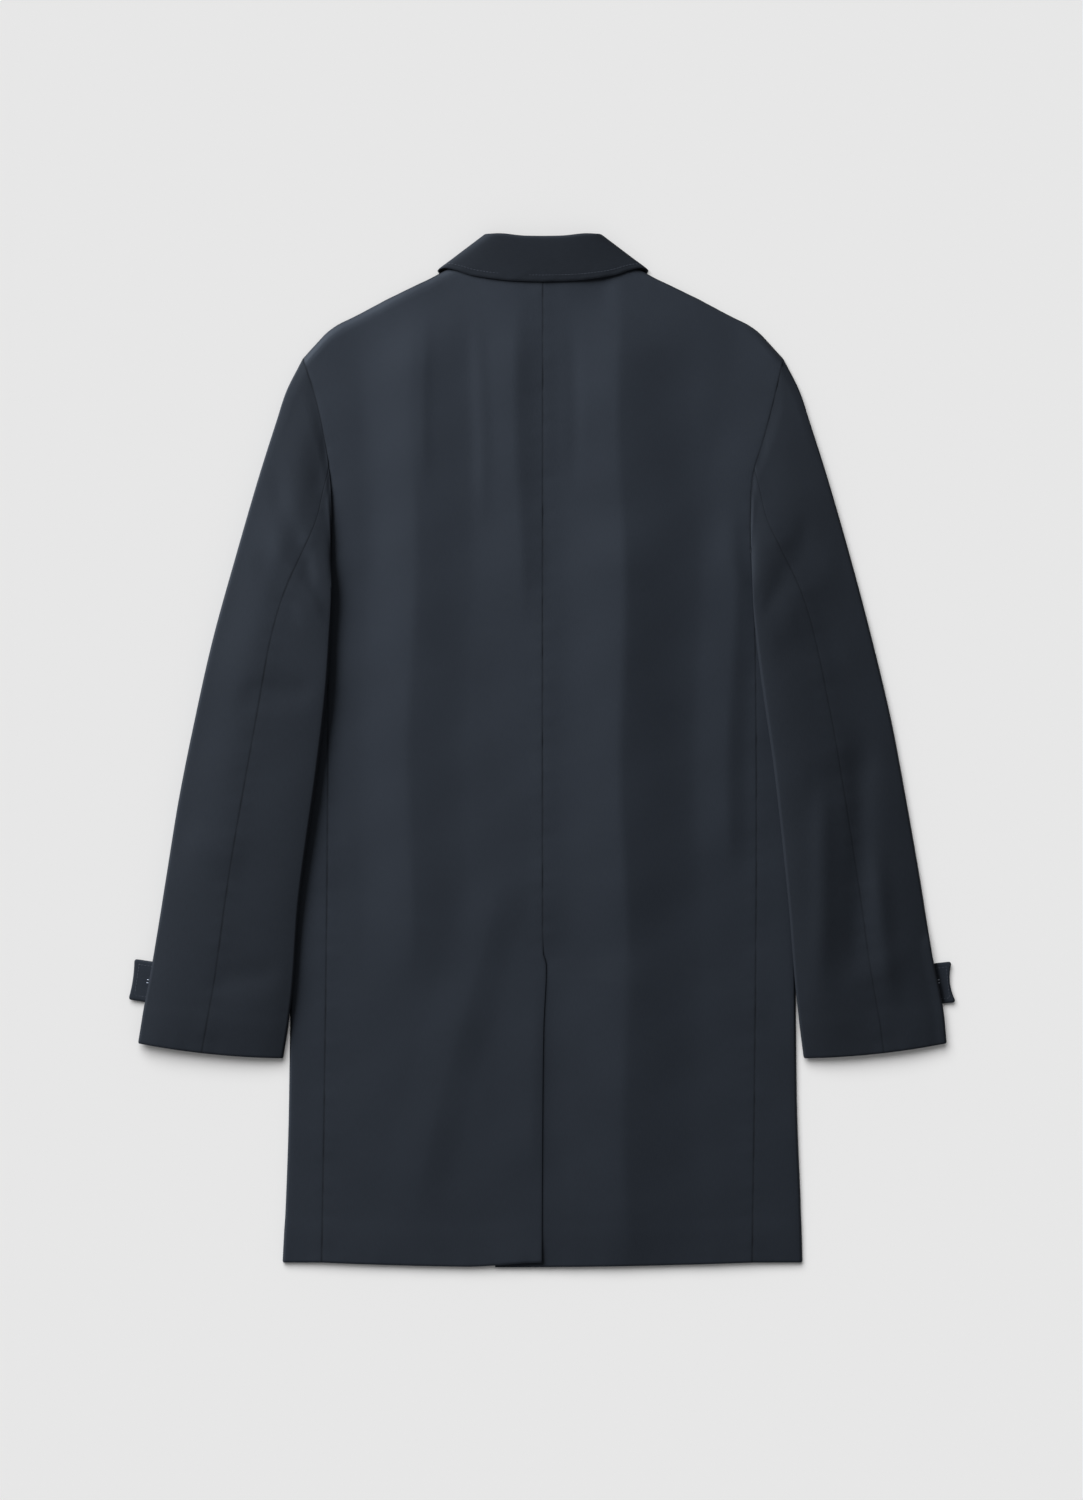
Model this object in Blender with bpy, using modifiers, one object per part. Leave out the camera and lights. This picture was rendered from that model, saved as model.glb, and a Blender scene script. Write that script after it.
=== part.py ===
# Long car coat, laid flat on its front with the back up, cut and sewn as the real one is: two backs
# with a centre vent, two fronts that wrap round the sides, two-piece sleeves, a collar of a stand and
# a fall, and a buttoned tab under each cuff. Metres: X to the right, Y towards the neck, Z up.
import math
from collections import namedtuple

import bmesh
import bpy
from mathutils import Vector

# driving sizes
WALL = 0.0013
SEAM_GAP = 0.0003
LAY_GAP = 0.0005
CENTRE_X = 0.0014
HEM_Y = -0.486
HEM_DROP = 0.0045
SHOULDER_TIP_Y = 0.3738
NECK_POINT = 0.080
BACK_NECK_HALF = 0.045
NECK_SETBACK = 0.009
SETBACK_END = 0.125
SIDE_RADIUS = 0.0029
CURL_SAG = 0.6
CURL_SPARE = 0.0015
CURL_OPENS_Y = 0.135
CURL_FLAT_Y = 0.180
TAIL_ENDS_Y = 0.115
ARMHOLE_OPEN_Y = 0.195
BACK_MID_HEIGHT = 0.0074
FRONT_OVERLAP = 0.045
OVERLAP_CLEAR = 0.014
OVERLAP_EASE = 0.030
OVERLAP_STEP = 0.0019
ARMHOLE_FOOT_Y = 0.185
ARMHOLE_LENGTH = 0.191
ARMHOLE_RISE = 0.0036
ARMHOLE_RISE_RING = (0.45, 0.90)
TIP_CLEAR = 0.0012
TIP_CLEAR_SPAN = 0.015
SIDE_SEAM_TOP_Y = 0.130
SHOULDER_ROUND = 0.018
SHOULDER_LEAN_FROM = 0.80
VENT_TOP_Y = -0.196
VENT_UNDERLAP = 0.045
VENT_CLEAR = 0.008
VENT_EASE = 0.030
VENT_STEP = 0.0024
VENT_SLANT = 0.025
VENT_SINK = 0.028
SLEEVE_RADIUS = 0.0028
SLEEVE_RAMP = 0.018
FOOT_CLEAR = 0.002
UNDERARM_CLEAR = 0.003
UNDERARM_RING = (0.74, 0.86)
UNDERARM_SHARES = (0.0, 0.30)
SWAY_SHARES = (0.0, 0.30)
GAP_SHARES = (0.0, 0.05)
JOIN_SHARES = (0.0, 0.16)
CUFF_BOW = 0.0065
CUFF_BOW_SHARES = (0.60, 1.0)
COLLAR_SPAN_X = 0.120
COLLAR_SPAN_Y = 0.160
COLLAR_CENTRE_Y = 0.460
COLLAR_EASE = 1.35
COLLAR_LIFT = 0.0019
ROLL_RADIUS_BACK = 0.0020
ROLL_RADIUS_FRONT = 0.0012
ROLL_TIGHTENS = (60.0, 150.0)
TAB_LENGTH = 0.075
TAB_WIDTH = 0.039
TAB_WALL = 0.0018
TAB_CORNER = 0.004
TAB_OUT = 0.0156
TAB_Y = -0.2193
BUTTON_RADIUS = 0.0085
BUTTON_THICK = 0.0022
BUTTON_RIM = 0.0005
BUTTON_SIDES = 24
BUTTON_INSET = 0.006
TAB_FLOOR = BUTTON_THICK + SEAM_GAP
TAB_LIFT = TAB_FLOOR + TAB_WALL + SEAM_GAP
TAB_LIFT_SHARES = (0.76, 0.83)
TAB_LIFT_RING = (0.52, 0.78)
NAVY = (0.028, 0.034, 0.048, 1.0)
CLOTH_ROUGHNESS = 0.85
BUTTON_COLOUR = (0.012, 0.013, 0.018, 1.0)
BUTTON_ROUGHNESS = 0.45

Side = namedtuple("Side", "name sign")
LEFT = Side("left", -1)
RIGHT = Side("right", 1)

# body: the side folds, from the hem up to the underarm
EdgeRow = namedtuple("EdgeRow", "y left right")
BODY_EDGE = [
    EdgeRow(-0.486, -0.2456, 0.2475),
    EdgeRow(-0.427, -0.2427, 0.2460),
    EdgeRow(-0.341, -0.2399, 0.2427),
    EdgeRow(-0.150, -0.2375, 0.2405),
    EdgeRow(0.000, -0.2345, 0.2375),
    EdgeRow(0.130, -0.2310, 0.2340),
]

# back panels: the side-back seams, then the armholes up to the shoulder tips
BACK_EDGE = [
    EdgeRow(-0.486, -0.2085, 0.2000),
    EdgeRow(-0.300, -0.2055, 0.2025),
    EdgeRow(-0.100, -0.2032, 0.2040),
    EdgeRow(0.050, -0.2028, 0.2035),
    EdgeRow(0.130, -0.2030, 0.2020),
    EdgeRow(0.185, -0.2000, 0.1990),
    EdgeRow(0.225, -0.1992, 0.1985),
    EdgeRow(0.262, -0.2011, 0.2008),
    EdgeRow(0.300, -0.2068, 0.2120),
    EdgeRow(0.340, -0.2160, 0.2222),
    EdgeRow(0.3738, -0.2266, 0.2294),
]

# shoulder line and back neck: how far out, as a share of the shoulder tip, and how far up
TopRow = namedtuple("TopRow", "out y")
BACK_TOP = [
    TopRow(0.000, 0.4520),
    TopRow(0.120, 0.4525),
    TopRow(0.240, 0.4550),
    TopRow(0.352, 0.4600),
    TopRow(0.478, 0.4470),
    TopRow(0.652, 0.4280),
    TopRow(0.771, 0.4137),
    TopRow(0.886, 0.3995),
    TopRow(0.962, 0.3852),
    TopRow(1.000, 0.3738),
]
FRONT_NECK = [
    TopRow(0.000, 0.3740),
    TopRow(0.030, 0.3820),
    TopRow(0.056, 0.4040),
    TopRow(0.075, 0.4340),
    TopRow(0.080, 0.4510),
]

# where the left back's edge runs along the centre: the seam, then the vent's edge
CentreRow = namedtuple("CentreRow", "y x")
VENT_EDGE = [
    CentreRow(-0.492, -0.0008),
    CentreRow(-0.340, 0.0024),
    CentreRow(-0.205, 0.0050),
    CentreRow(-0.190, 0.0014),
    CentreRow(0.460, 0.0014),
]

# the back's largest folds: lines of ridges and troughs from a high end to a low end
FoldRow = namedtuple("FoldRow", "x_high y_high x_low y_low half_width height")
BACK_FOLDS = [
    FoldRow(-0.134, 0.430, -0.122, -0.120, 0.030, 0.0014),
    FoldRow(-0.085, 0.420, -0.078, -0.060, 0.026, -0.0009),
    FoldRow(-0.018, 0.430, -0.020, -0.160, 0.030, 0.0008),
    FoldRow(0.058, 0.420, 0.076, -0.480, 0.032, 0.0016),
    FoldRow(0.126, 0.400, 0.136, -0.470, 0.030, -0.0010),
    FoldRow(0.178, 0.260, 0.188, -0.200, 0.017, 0.0010),
    FoldRow(-0.045, -0.090, -0.140, -0.450, 0.034, 0.0013),
    FoldRow(-0.052, -0.420, -0.045, -0.520, 0.036, 0.0016),
]
FOLD_FADE = 0.070
FOLDS_END = 0.80

# sleeves: the outer and inner folds, then rings down the sleeve with seams as shares of the ring
OUTER_EDGE = [
    EdgeRow(-0.2769, -0.3824, 0.3843),
    EdgeRow(-0.2418, -0.3767, 0.3805),
    EdgeRow(-0.1943, -0.3681, 0.3710),
    EdgeRow(-0.1230, -0.3567, 0.3596),
    EdgeRow(-0.0470, -0.3444, 0.3463),
    EdgeRow(0.0290, -0.3292, 0.3320),
    EdgeRow(0.1050, -0.3121, 0.3140),
    EdgeRow(0.1810, -0.2912, 0.2940),
    EdgeRow(0.2570, -0.2693, 0.2722),
    EdgeRow(0.3140, -0.2513, 0.2541),
    EdgeRow(0.3425, -0.2418, 0.2446),
    EdgeRow(0.3738, -0.2266, 0.2294),
]
INNER_EDGE = [
    EdgeRow(-0.294, -0.2456, 0.2494),
    EdgeRow(-0.229, -0.2370, 0.2424),
    EdgeRow(-0.142, -0.2294, 0.2340),
    EdgeRow(-0.0185, -0.2123, 0.2206),
    EdgeRow(0.055, -0.2035, 0.2100),
    EdgeRow(0.110, -0.2000, 0.2030),
    EdgeRow(0.150, -0.1985, 0.1995),
    EdgeRow(0.185, -0.2000, 0.1990),
]
RingRow = namedtuple("RingRow", "share outer_y inner_y back_seam front_seam swell")
SLEEVE_RINGS = [
    RingRow(0.00, 0.3738, 0.185, 0.560, 0.72, 0.0004),
    RingRow(0.08, 0.3150, 0.163, 0.600, 0.62, 0.0010),
    RingRow(0.16, 0.2520, 0.140, 0.560, 0.54, 0.0013),
    RingRow(0.24, 0.1880, 0.113, 0.500, 0.50, 0.0014),
    RingRow(0.32, 0.1250, 0.083, 0.475, 0.48, 0.0014),
    RingRow(0.40, 0.0620, 0.045, 0.475, 0.48, 0.0014),
    RingRow(0.50, -0.0060, -0.018, 0.480, 0.48, 0.0014),
    RingRow(0.75, -0.1420, -0.156, 0.477, 0.48, 0.0016),
    RingRow(1.00, -0.2769, -0.294, 0.457, 0.48, 0.0024),
]

# collar, from the centre back round to the centre front: neck seam, roll line and outer edge, with the
# way the collar faces (0 up at the back, 90 out at the side fold, 180 down at the front)
CollarRow = namedtuple("CollarRow", "step faces seam roll edge")
LinePoint = namedtuple("LinePoint", "step x y z")
COLLAR = [
    CollarRow(0.0, 0, (0.0000, 0.4528, 0.0066), (0.0000, 0.4855, 0.0108), (0.0000, 0.4450, 0.0092)),
    CollarRow(1.0, 0, (0.0280, 0.4534, 0.0064), (0.0200, 0.4860, 0.0108), (0.0340, 0.4463, 0.0092)),
    CollarRow(2.0, 0, (0.0540, 0.4562, 0.0058), (0.0370, 0.4878, 0.0106), (0.0660, 0.4490, 0.0090)),
    CollarRow(3.0, 0, (0.0715, 0.4605, 0.0056), (0.0470, 0.4890, 0.0100), (0.0880, 0.4530, 0.0084)),
    CollarRow(3.5, 45, (0.0785, 0.4625, 0.0056), (0.0508, 0.4892, 0.0086), (0.0970, 0.4553, 0.0070)),
    CollarRow(4.0, 90, (0.0800, 0.4628, 0.0050), (0.0514, 0.4888, 0.0066), (0.0990, 0.4558, 0.0040)),
    CollarRow(4.5, 135, (0.0785, 0.4622, 0.0036), (0.0508, 0.4872, 0.0050), (0.0970, 0.4530, 0.0011)),
    CollarRow(4.75, 165, (0.0758, 0.4545, 0.0025), (0.0490, 0.4800, 0.0038), (0.0955, 0.4430, 0.0009)),
    CollarRow(5.0, 180, (0.0715, 0.4430, 0.0026), (0.0465, 0.4700, 0.0032), (0.0930, 0.4300, 0.0008)),
    CollarRow(6.0, 180, (0.0560, 0.4100, 0.0026), (0.0330, 0.4330, 0.0032), (0.0780, 0.3850, 0.0008)),
    CollarRow(7.0, 180, (0.0300, 0.3865, 0.0026), (0.0160, 0.4100, 0.0032), (0.0600, 0.3520, 0.0008)),
    CollarRow(8.0, 180, (0.0020, 0.3785, 0.0026), (0.0020, 0.4030, 0.0032), (0.0450, 0.3350, 0.0008)),
]

# how finely each piece is divided
BACK_COLUMNS = 14
BACK_BODY_UP = (0.0, 0.025, 0.06, 0.10, 0.14, 0.18, 0.22, 0.25, 0.275, 0.295, 0.31, 0.323, 0.336, 0.352,
                0.375, 0.41, 0.455, 0.50, 0.55, 0.60, 0.65, 0.70, 0.74)
FRONT_ACROSS = (0.0, 0.06, 0.12, 0.18, 0.24, 0.30, 0.36, 0.42, 0.48, 0.60, 0.75, 0.90, 1.0)
FRONT_CURL_COLUMNS = 5
FRONT_TAIL_COLUMNS = 3
FRONT_BODY_Y = (-0.486, -0.44, -0.38, -0.32, -0.25, -0.18, -0.11, -0.04, 0.03, 0.09, 0.12, 0.135,
                0.15, 0.165, 0.175)
SLEEVE_SHEET_COLUMNS = 5
SLEEVE_CAP_COLUMNS = 4
SLEEVE_ROWS = 20
COLLAR_STEPS = (0.0, 0.7, 1.4, 2.1, 2.7, 3.1, 3.4, 3.7, 4.0, 4.3, 4.55, 4.75, 5.0, 5.5, 6.0, 6.6, 7.3, 8.0)
FALL_BEND_COLUMNS = 4
FALL_COLUMNS = 4
STAND_COLUMNS = 3


def ease(start, end, at):
    """0 before start, 1 after end, smooth between."""
    share = min(max((at - start) / (end - start), 0.0), 1.0)
    return share * share * (3.0 - 2.0 * share)


def mix(first, second, share):
    return first + (second - first) * share


def along(rows, column, at):
    """A column's value at a place along the table's first column, on a smooth curve through the rows."""
    keys = [row[0] for row in rows]
    values = [getattr(row, column) for row in rows]
    last = len(rows) - 1
    at = min(max(at, keys[0]), keys[last])
    low = max(i for i in range(last) if keys[i] <= at)
    span = keys[low + 1] - keys[low]

    def slope(i):
        before, after = max(i - 1, 0), min(i + 1, last)
        return (values[after] - values[before]) / (keys[after] - keys[before]) * span

    t = (at - keys[low]) / span
    return (
        (1 + 2 * t) * (1 - t) ** 2 * values[low]
        + t * (1 - t) ** 2 * slope(low)
        + t * t * (3 - 2 * t) * values[low + 1]
        - t * t * (1 - t) * slope(low + 1)
    )


def patch(across, up, bottom, top, first, last):
    """A point of the patch between four edges: bottom and top run across, first and last run up."""
    sideways = mix(Vector(first(up)), Vector(last(up)), across)
    upwards = mix(Vector(bottom(across)), Vector(top(across)), up)
    corners = mix(
        mix(Vector(bottom(0.0)), Vector(bottom(1.0)), across),
        mix(Vector(top(0.0)), Vector(top(1.0)), across),
        up,
    )
    return sideways + upwards - corners


# heights of the body's layers


def outline(side, y):
    """X of the body's side: the side fold, then in along the underarm to the armhole."""
    rise = ease(SIDE_SEAM_TOP_Y, ARMHOLE_FOOT_Y, y)
    return mix(along(BODY_EDGE, side.name, y), along(BACK_EDGE, side.name, y), rise)


def back_top(side, x):
    """Y of the shoulder line and back neck at an x."""
    tip = BACK_EDGE[-1]
    return along(BACK_TOP, "y", (x - CENTRE_X) / (getattr(tip, side.name) - CENTRE_X))


def front_lift(x, y):
    """The fronts rise over the collar's fall, which lies under them at the neck."""
    reach = math.hypot((x - CENTRE_X) / COLLAR_SPAN_X, (y - COLLAR_CENTRE_Y) / COLLAR_SPAN_Y)
    return COLLAR_LIFT * (1.0 - ease(1.0, COLLAR_EASE, reach))


def front_height(side, x, y):
    """Underside of a front; the right front climbs on the left one where they overlap."""
    height = front_lift(x, y)
    if side is RIGHT:
        clear = CENTRE_X + FRONT_OVERLAP + OVERLAP_CLEAR
        height += OVERLAP_STEP * (1.0 - ease(clear, clear + OVERLAP_EASE, x))
    return height


def fold_height(fold, x, y):
    """One ridge or trough, fading at its ends."""
    down = (fold.y_high - y) / (fold.y_high - fold.y_low)
    middle = mix(fold.x_high, fold.x_low, min(max(down, 0.0), 1.0))
    ends = ease(0.0, FOLD_FADE, fold.y_high - y) * ease(0.0, FOLD_FADE, y - fold.y_low)
    return fold.height * ends * math.exp(-(((x - middle) / fold.half_width) ** 2))


def back_height(x, y):
    """Top of the back over the floor: lowest at the sides, with the folds, rounded down at the shoulders."""
    side = LEFT if x < CENTRE_X else RIGHT
    reach = min((x - CENTRE_X) / (outline(side, y) - CENTRE_X), 1.0)
    full = 2 * SIDE_RADIUS + (BACK_MID_HEIGHT - 2 * SIDE_RADIUS) * (1.0 - reach * reach)
    full += (1.0 - ease(FOLDS_END, 1.0, reach)) * sum(fold_height(fold, x, y) for fold in BACK_FOLDS)
    below = min(max((back_top(side, x) - y) / SHOULDER_ROUND, 0.0), 1.0)
    seat = front_lift(x, y) + 2 * WALL + SEAM_GAP
    rounded = mix(seat, full, 1.0 - (1.0 - below) ** 2)
    on_shoulder = ease(BACK_NECK_HALF, NECK_POINT, abs(x - CENTRE_X))
    return mix(full, rounded, on_shoulder)


def sleeve_floor(side, x, y, share, ring):
    """Underside of a sleeve: the floor, up over the body's side, and up over the cuff's tab."""
    out = max(side.sign * (x - outline(side, y)), y - ARMHOLE_FOOT_Y - FOOT_CLEAR)
    over_body = 1.0 - ease(0.0, SLEEVE_RAMP, out)
    over_tab = ease(*TAB_LIFT_SHARES, share) * (1.0 - ease(*TAB_LIFT_RING, ring))
    body = (back_height(x, min(y, ARMHOLE_FOOT_Y)) + LAY_GAP) * over_body
    return max(body, TAB_LIFT * over_tab)


# making solids


def clear_scene():
    for item in list(bpy.data.objects):
        bpy.data.objects.remove(item, do_unlink=True)


def material(name, colour, roughness):
    made = bpy.data.materials.new(name)
    made.use_nodes = True
    shader = made.node_tree.nodes["Principled BSDF"]
    shader.inputs["Base Color"].default_value = colour
    shader.inputs["Roughness"].default_value = roughness
    shader.inputs["Metallic"].default_value = 0.0
    return made


def solid(name, mesh_data, colour=NAVY, roughness=CLOTH_ROUGHNESS):
    mesh = bpy.data.meshes.new(name)
    mesh_data.normal_update()
    mesh_data.to_mesh(mesh)
    mesh_data.free()
    made = bpy.data.objects.new(name, mesh)
    coat.objects.link(made)
    mesh.materials.append(material(name + "_material", colour, roughness))
    return made


def cloth(name, columns, rows, place, turned=False, offset=-1.0, wall=WALL):
    """A grid whose corners are put in place by column and row, then given the cloth's thickness."""
    grid = bmesh.new()
    bmesh.ops.create_grid(grid, x_segments=columns, y_segments=rows, size=0.5)
    for corner in grid.verts:
        corner.co = place(round((corner.co.x + 0.5) * columns), round((corner.co.y + 0.5) * rows))
    if turned:
        bmesh.ops.reverse_faces(grid, faces=grid.faces[:])
    made = solid(name, grid)
    thick = made.modifiers.new("Thickness", "SOLIDIFY")
    thick.thickness = wall
    thick.offset = offset
    thick.use_even_offset = False
    return made


# the armhole seam has the same points on the body's pieces as on the sleeve's


def armhole_rows(seam):
    """Heights along the armhole from its foot up to the shoulder tip: the sleeve pieces' own points."""
    joint = getattr(SLEEVE_RINGS[0], seam)
    steps = [step / SLEEVE_SHEET_COLUMNS for step in range(SLEEVE_SHEET_COLUMNS)]
    shares = [mix(1.0, joint, step) for step in steps] + [mix(joint, 0.0, step) for step in steps]
    cap = SLEEVE_RADIUS / ARMHOLE_LENGTH
    rows = [mix(SHOULDER_TIP_Y, ARMHOLE_FOOT_Y, mix(cap, 1.0 - cap, share)) for share in shares]
    return rows + [SHOULDER_TIP_Y]


def armhole_gap(y):
    """The body's pieces stand back from the seam, and a little more at the shoulder tip."""
    return SEAM_GAP / 2 + TIP_CLEAR * ease(SHOULDER_TIP_Y - TIP_CLEAR_SPAN, SHOULDER_TIP_Y, y)


# back panels


def hem_y(x):
    """The back's hem line dips a little towards the middle."""
    return HEM_Y - HEM_DROP * (1.0 - min(abs(x / BODY_EDGE[0].left), 1.0) ** 2)


def vent_underlap(y):
    """How much of the underlap there is at a height: it starts on a slant at the vent's top."""
    return 1.0 - ease(VENT_TOP_Y - VENT_SLANT, VENT_TOP_Y, y)


def back_panel(side):
    rows = list(BACK_BODY_UP)
    rows += [(y - HEM_Y) / (SHOULDER_TIP_Y - HEM_Y) for y in armhole_rows("back_seam")]

    def centre(up):
        y = mix(hem_y(0.0), BACK_TOP[0].y, up)
        if side is LEFT:
            return along(VENT_EDGE, "x", y) - SEAM_GAP / 2, y, 0.0
        return CENTRE_X + SEAM_GAP / 2 - VENT_UNDERLAP * vent_underlap(y), y, 0.0

    def outer(up):
        y = mix(HEM_Y, SHOULDER_TIP_Y, up)
        return along(BACK_EDGE, side.name, y) - side.sign * armhole_gap(y), y, 0.0

    def hem(across):
        x = mix(centre(0.0)[0], outer(0.0)[0], across)
        return x, mix(centre(0.0)[1], HEM_Y, across**2), 0.0

    def top(across):
        x = mix(centre(1.0)[0], outer(1.0)[0], across)
        return x, back_top(side, max(x, CENTRE_X) if side is RIGHT else min(x, CENTRE_X)), 0.0

    def place(column, row):
        point = patch(column / BACK_COLUMNS, rows[row], hem, top, centre, outer)
        point.z = back_height(point.x, point.y)
        if side is RIGHT:
            sunk = 1.0 - ease(VENT_TOP_Y, VENT_TOP_Y + VENT_SINK, point.y)
            point.z -= VENT_STEP * sunk * (1.0 - ease(VENT_CLEAR, VENT_CLEAR + VENT_EASE, point.x))
        return point

    return cloth(f"back_{side.name}", BACK_COLUMNS, len(rows) - 1, place, turned=side is LEFT)


# fronts: flat on the floor, curled round the side, then a tail on top up to the side-back seam


def curl_turn(y):
    """How far round the front's side turns: half a circle, opening flat at the armhole."""
    return math.pi * (1.0 - ease(CURL_OPENS_Y, CURL_FLAT_Y, y))


def front_panel(side):
    curl = math.pi * SIDE_RADIUS
    flat = len(FRONT_ACROSS) - 1
    columns = flat + FRONT_CURL_COLUMNS + FRONT_TAIL_COLUMNS
    rows = list(FRONT_BODY_Y) + armhole_rows("front_seam")
    closing_x = CENTRE_X - side.sign * FRONT_OVERLAP

    def tail(y):
        on_top = abs(along(BODY_EDGE, side.name, y) - along(BACK_EDGE, side.name, y))
        up_to_seam = on_top - SIDE_RADIUS - SEAM_GAP
        return mix(up_to_seam, CURL_SPARE, ease(TAIL_ENDS_Y, CURL_OPENS_Y, y))

    def start(y):
        """X where the side starts to turn up."""
        folded = along(BODY_EDGE, side.name, y) - side.sign * SIDE_RADIUS
        armhole = along(BACK_EDGE, side.name, max(y, ARMHOLE_FOOT_Y))
        open_edge = armhole - side.sign * (curl + CURL_SPARE + armhole_gap(y))
        return mix(folded, open_edge, ease(SIDE_SEAM_TOP_Y, ARMHOLE_OPEN_Y, y))

    def top_y(x):
        out = abs(x - CENTRE_X)
        if out < NECK_POINT:
            return along(FRONT_NECK, "y", out)
        return back_top(side, x) - NECK_SETBACK * (1.0 - ease(NECK_POINT, SETBACK_END, out))

    def closing(up):
        return closing_x, mix(HEM_Y, top_y(closing_x), up), 0.0

    def outer(up):
        y = mix(HEM_Y, SHOULDER_TIP_Y, up)
        lean = (top_y(start(SHOULDER_TIP_Y)) - SHOULDER_TIP_Y) * ease(SHOULDER_LEAN_FROM, 1.0, up)
        return start(y), y + lean, 0.0

    def hem(across):
        return mix(closing_x, start(HEM_Y), across), HEM_Y, 0.0

    def top(across):
        x = mix(closing_x, start(SHOULDER_TIP_Y), across)
        return x, top_y(x), 0.0

    def place(column, row):
        y = rows[row]
        up = (y - HEM_Y) / (SHOULDER_TIP_Y - HEM_Y)
        if column <= flat:
            point = patch(FRONT_ACROSS[column], up, hem, top, closing, outer)
            point.z = front_height(side, point.x, point.y)
            return point
        turn = curl_turn(y)
        step = column - flat
        bent = min(step / FRONT_CURL_COLUMNS, 1.0)
        straight = max(step - FRONT_CURL_COLUMNS, 0) / FRONT_TAIL_COLUMNS * tail(y)
        angle = turn * bent
        if turn > 0.0:
            out, rise = curl / turn * math.sin(angle), curl / turn * (1.0 - math.cos(angle))
        else:
            out, rise = curl * bent, 0.0
        out += straight * math.cos(turn)
        rise += straight * math.sin(turn)
        rise *= 1.0 - CURL_SAG * math.sin(turn)
        base = outer(up)
        far = step / (FRONT_CURL_COLUMNS + FRONT_TAIL_COLUMNS)
        point = Vector((base[0] + side.sign * out, mix(base[1], y, far), rise))
        if y < SIDE_SEAM_TOP_Y and straight > 0.0:
            point.z = back_height(point.x, y)
        return point

    return cloth(f"front_{side.name}", columns, len(rows) - 1, place, turned=side is RIGHT)


# sleeves: flattened rings from the armhole to the cuff, in two pieces


def sleeve_plan(side, share, ring):
    """Plan point of a sleeve ring: 0 at the outer fold, 1 at the inner fold."""
    outer_y = along(SLEEVE_RINGS, "outer_y", share)
    inner_y = along(SLEEVE_RINGS, "inner_y", share)
    outer_x = along(OUTER_EDGE, side.name, outer_y)
    inner_x = along(INNER_EDGE, side.name, inner_y)
    seam_y = mix(SHOULDER_TIP_Y, ARMHOLE_FOOT_Y, ring)
    tip_x = along(OUTER_EDGE, side.name, SHOULDER_TIP_Y)
    foot_x = along(INNER_EDGE, side.name, ARMHOLE_FOOT_Y)
    off_line = along(BACK_EDGE, side.name, seam_y) - mix(tip_x, foot_x, ring)
    sway = off_line * (1.0 - ease(*SWAY_SHARES, share))
    gap = side.sign * SEAM_GAP / 2 * (1.0 - ease(*GAP_SHARES, share))
    bow = CUFF_BOW * 4 * ring * (1.0 - ring) * ease(*CUFF_BOW_SHARES, share)
    return mix(outer_x, inner_x, ring) + sway + gap, mix(outer_y, inner_y, ring) - bow


def sleeve_top(side, share, ring, cap):
    """Top of a sleeve over the floor; at the armhole it meets the back, and rises over it at the foot."""
    low = sleeve_floor(side, *sleeve_plan(side, share, cap), share, cap) + 2 * SLEEVE_RADIUS
    high = sleeve_floor(side, *sleeve_plan(side, share, 1.0 - cap), share, 1.0 - cap) + 2 * SLEEVE_RADIUS
    inside = (ring - cap) / (1.0 - 2 * cap)
    crown = along(SLEEVE_RINGS, "swell", share) * (1.0 - (2 * inside - 1.0) ** 4)
    own = mix(low, high, ease(0.0, 1.0, inside)) + crown
    x, y = sleeve_plan(side, share, ring)
    least = sleeve_floor(side, x, y, share, ring) + 2 * WALL + LAY_GAP
    seam_x, seam_y = sleeve_plan(side, 0.0, ring)
    seat = back_height(seam_x - side.sign * SEAM_GAP, seam_y)
    seat += ARMHOLE_RISE * ease(*ARMHOLE_RISE_RING, ring)
    return max(mix(seat, own, ease(*JOIN_SHARES, share)), least)


def sleeve_point(side, share, part, amount):
    """A point of a sleeve ring: on its top, its underside, or round one of its folds."""
    start = Vector(sleeve_plan(side, share, 0.0))
    end = Vector(sleeve_plan(side, share, 1.0))
    cap = SLEEVE_RADIUS / (end - start).length
    clear = side.sign * UNDERARM_CLEAR * (1.0 - ease(*UNDERARM_SHARES, share))
    if part in ("top", "under"):
        ring = mix(cap, 1.0 - cap, amount)
        x, y = sleeve_plan(side, share, ring)
        if part == "top":
            return Vector((x, y, sleeve_top(side, share, ring, cap)))
        away = clear * ease(*UNDERARM_RING, ring)
        return Vector((x + away, y, sleeve_floor(side, x, y, share, ring)))
    ring = cap if part == "outer" else 1.0 - cap
    centre = Vector(sleeve_plan(side, share, ring))
    floor = sleeve_floor(side, *centre, share, ring)
    top = sleeve_top(side, share, ring, cap)
    away = (Vector(sleeve_plan(side, share, 0.0 if part == "outer" else 1.0)) - centre).normalized()
    angle = math.pi * (amount - 0.5)
    out = centre + away * SLEEVE_RADIUS * math.cos(angle)
    if part == "inner":
        out.x += clear * (1.0 - amount)
    return Vector((out.x, out.y, mix(floor, top, (1.0 + math.sin(angle)) / 2)))


def sleeve_piece(side, name, stops):
    """stops gives, for a ring, the part and amount of each column."""

    def place(column, row):
        share = 1.0 - row / SLEEVE_ROWS
        part, amount = stops(share, column)
        return sleeve_point(side, share, part, amount)

    columns = 2 * SLEEVE_SHEET_COLUMNS + SLEEVE_CAP_COLUMNS
    return cloth(f"sleeve_{side.name}_{name}", columns, SLEEVE_ROWS, place, turned=side is RIGHT)


def ring_width(share):
    return math.dist(sleeve_plan(LEFT, share, 0.0), sleeve_plan(LEFT, share, 1.0))


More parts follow.
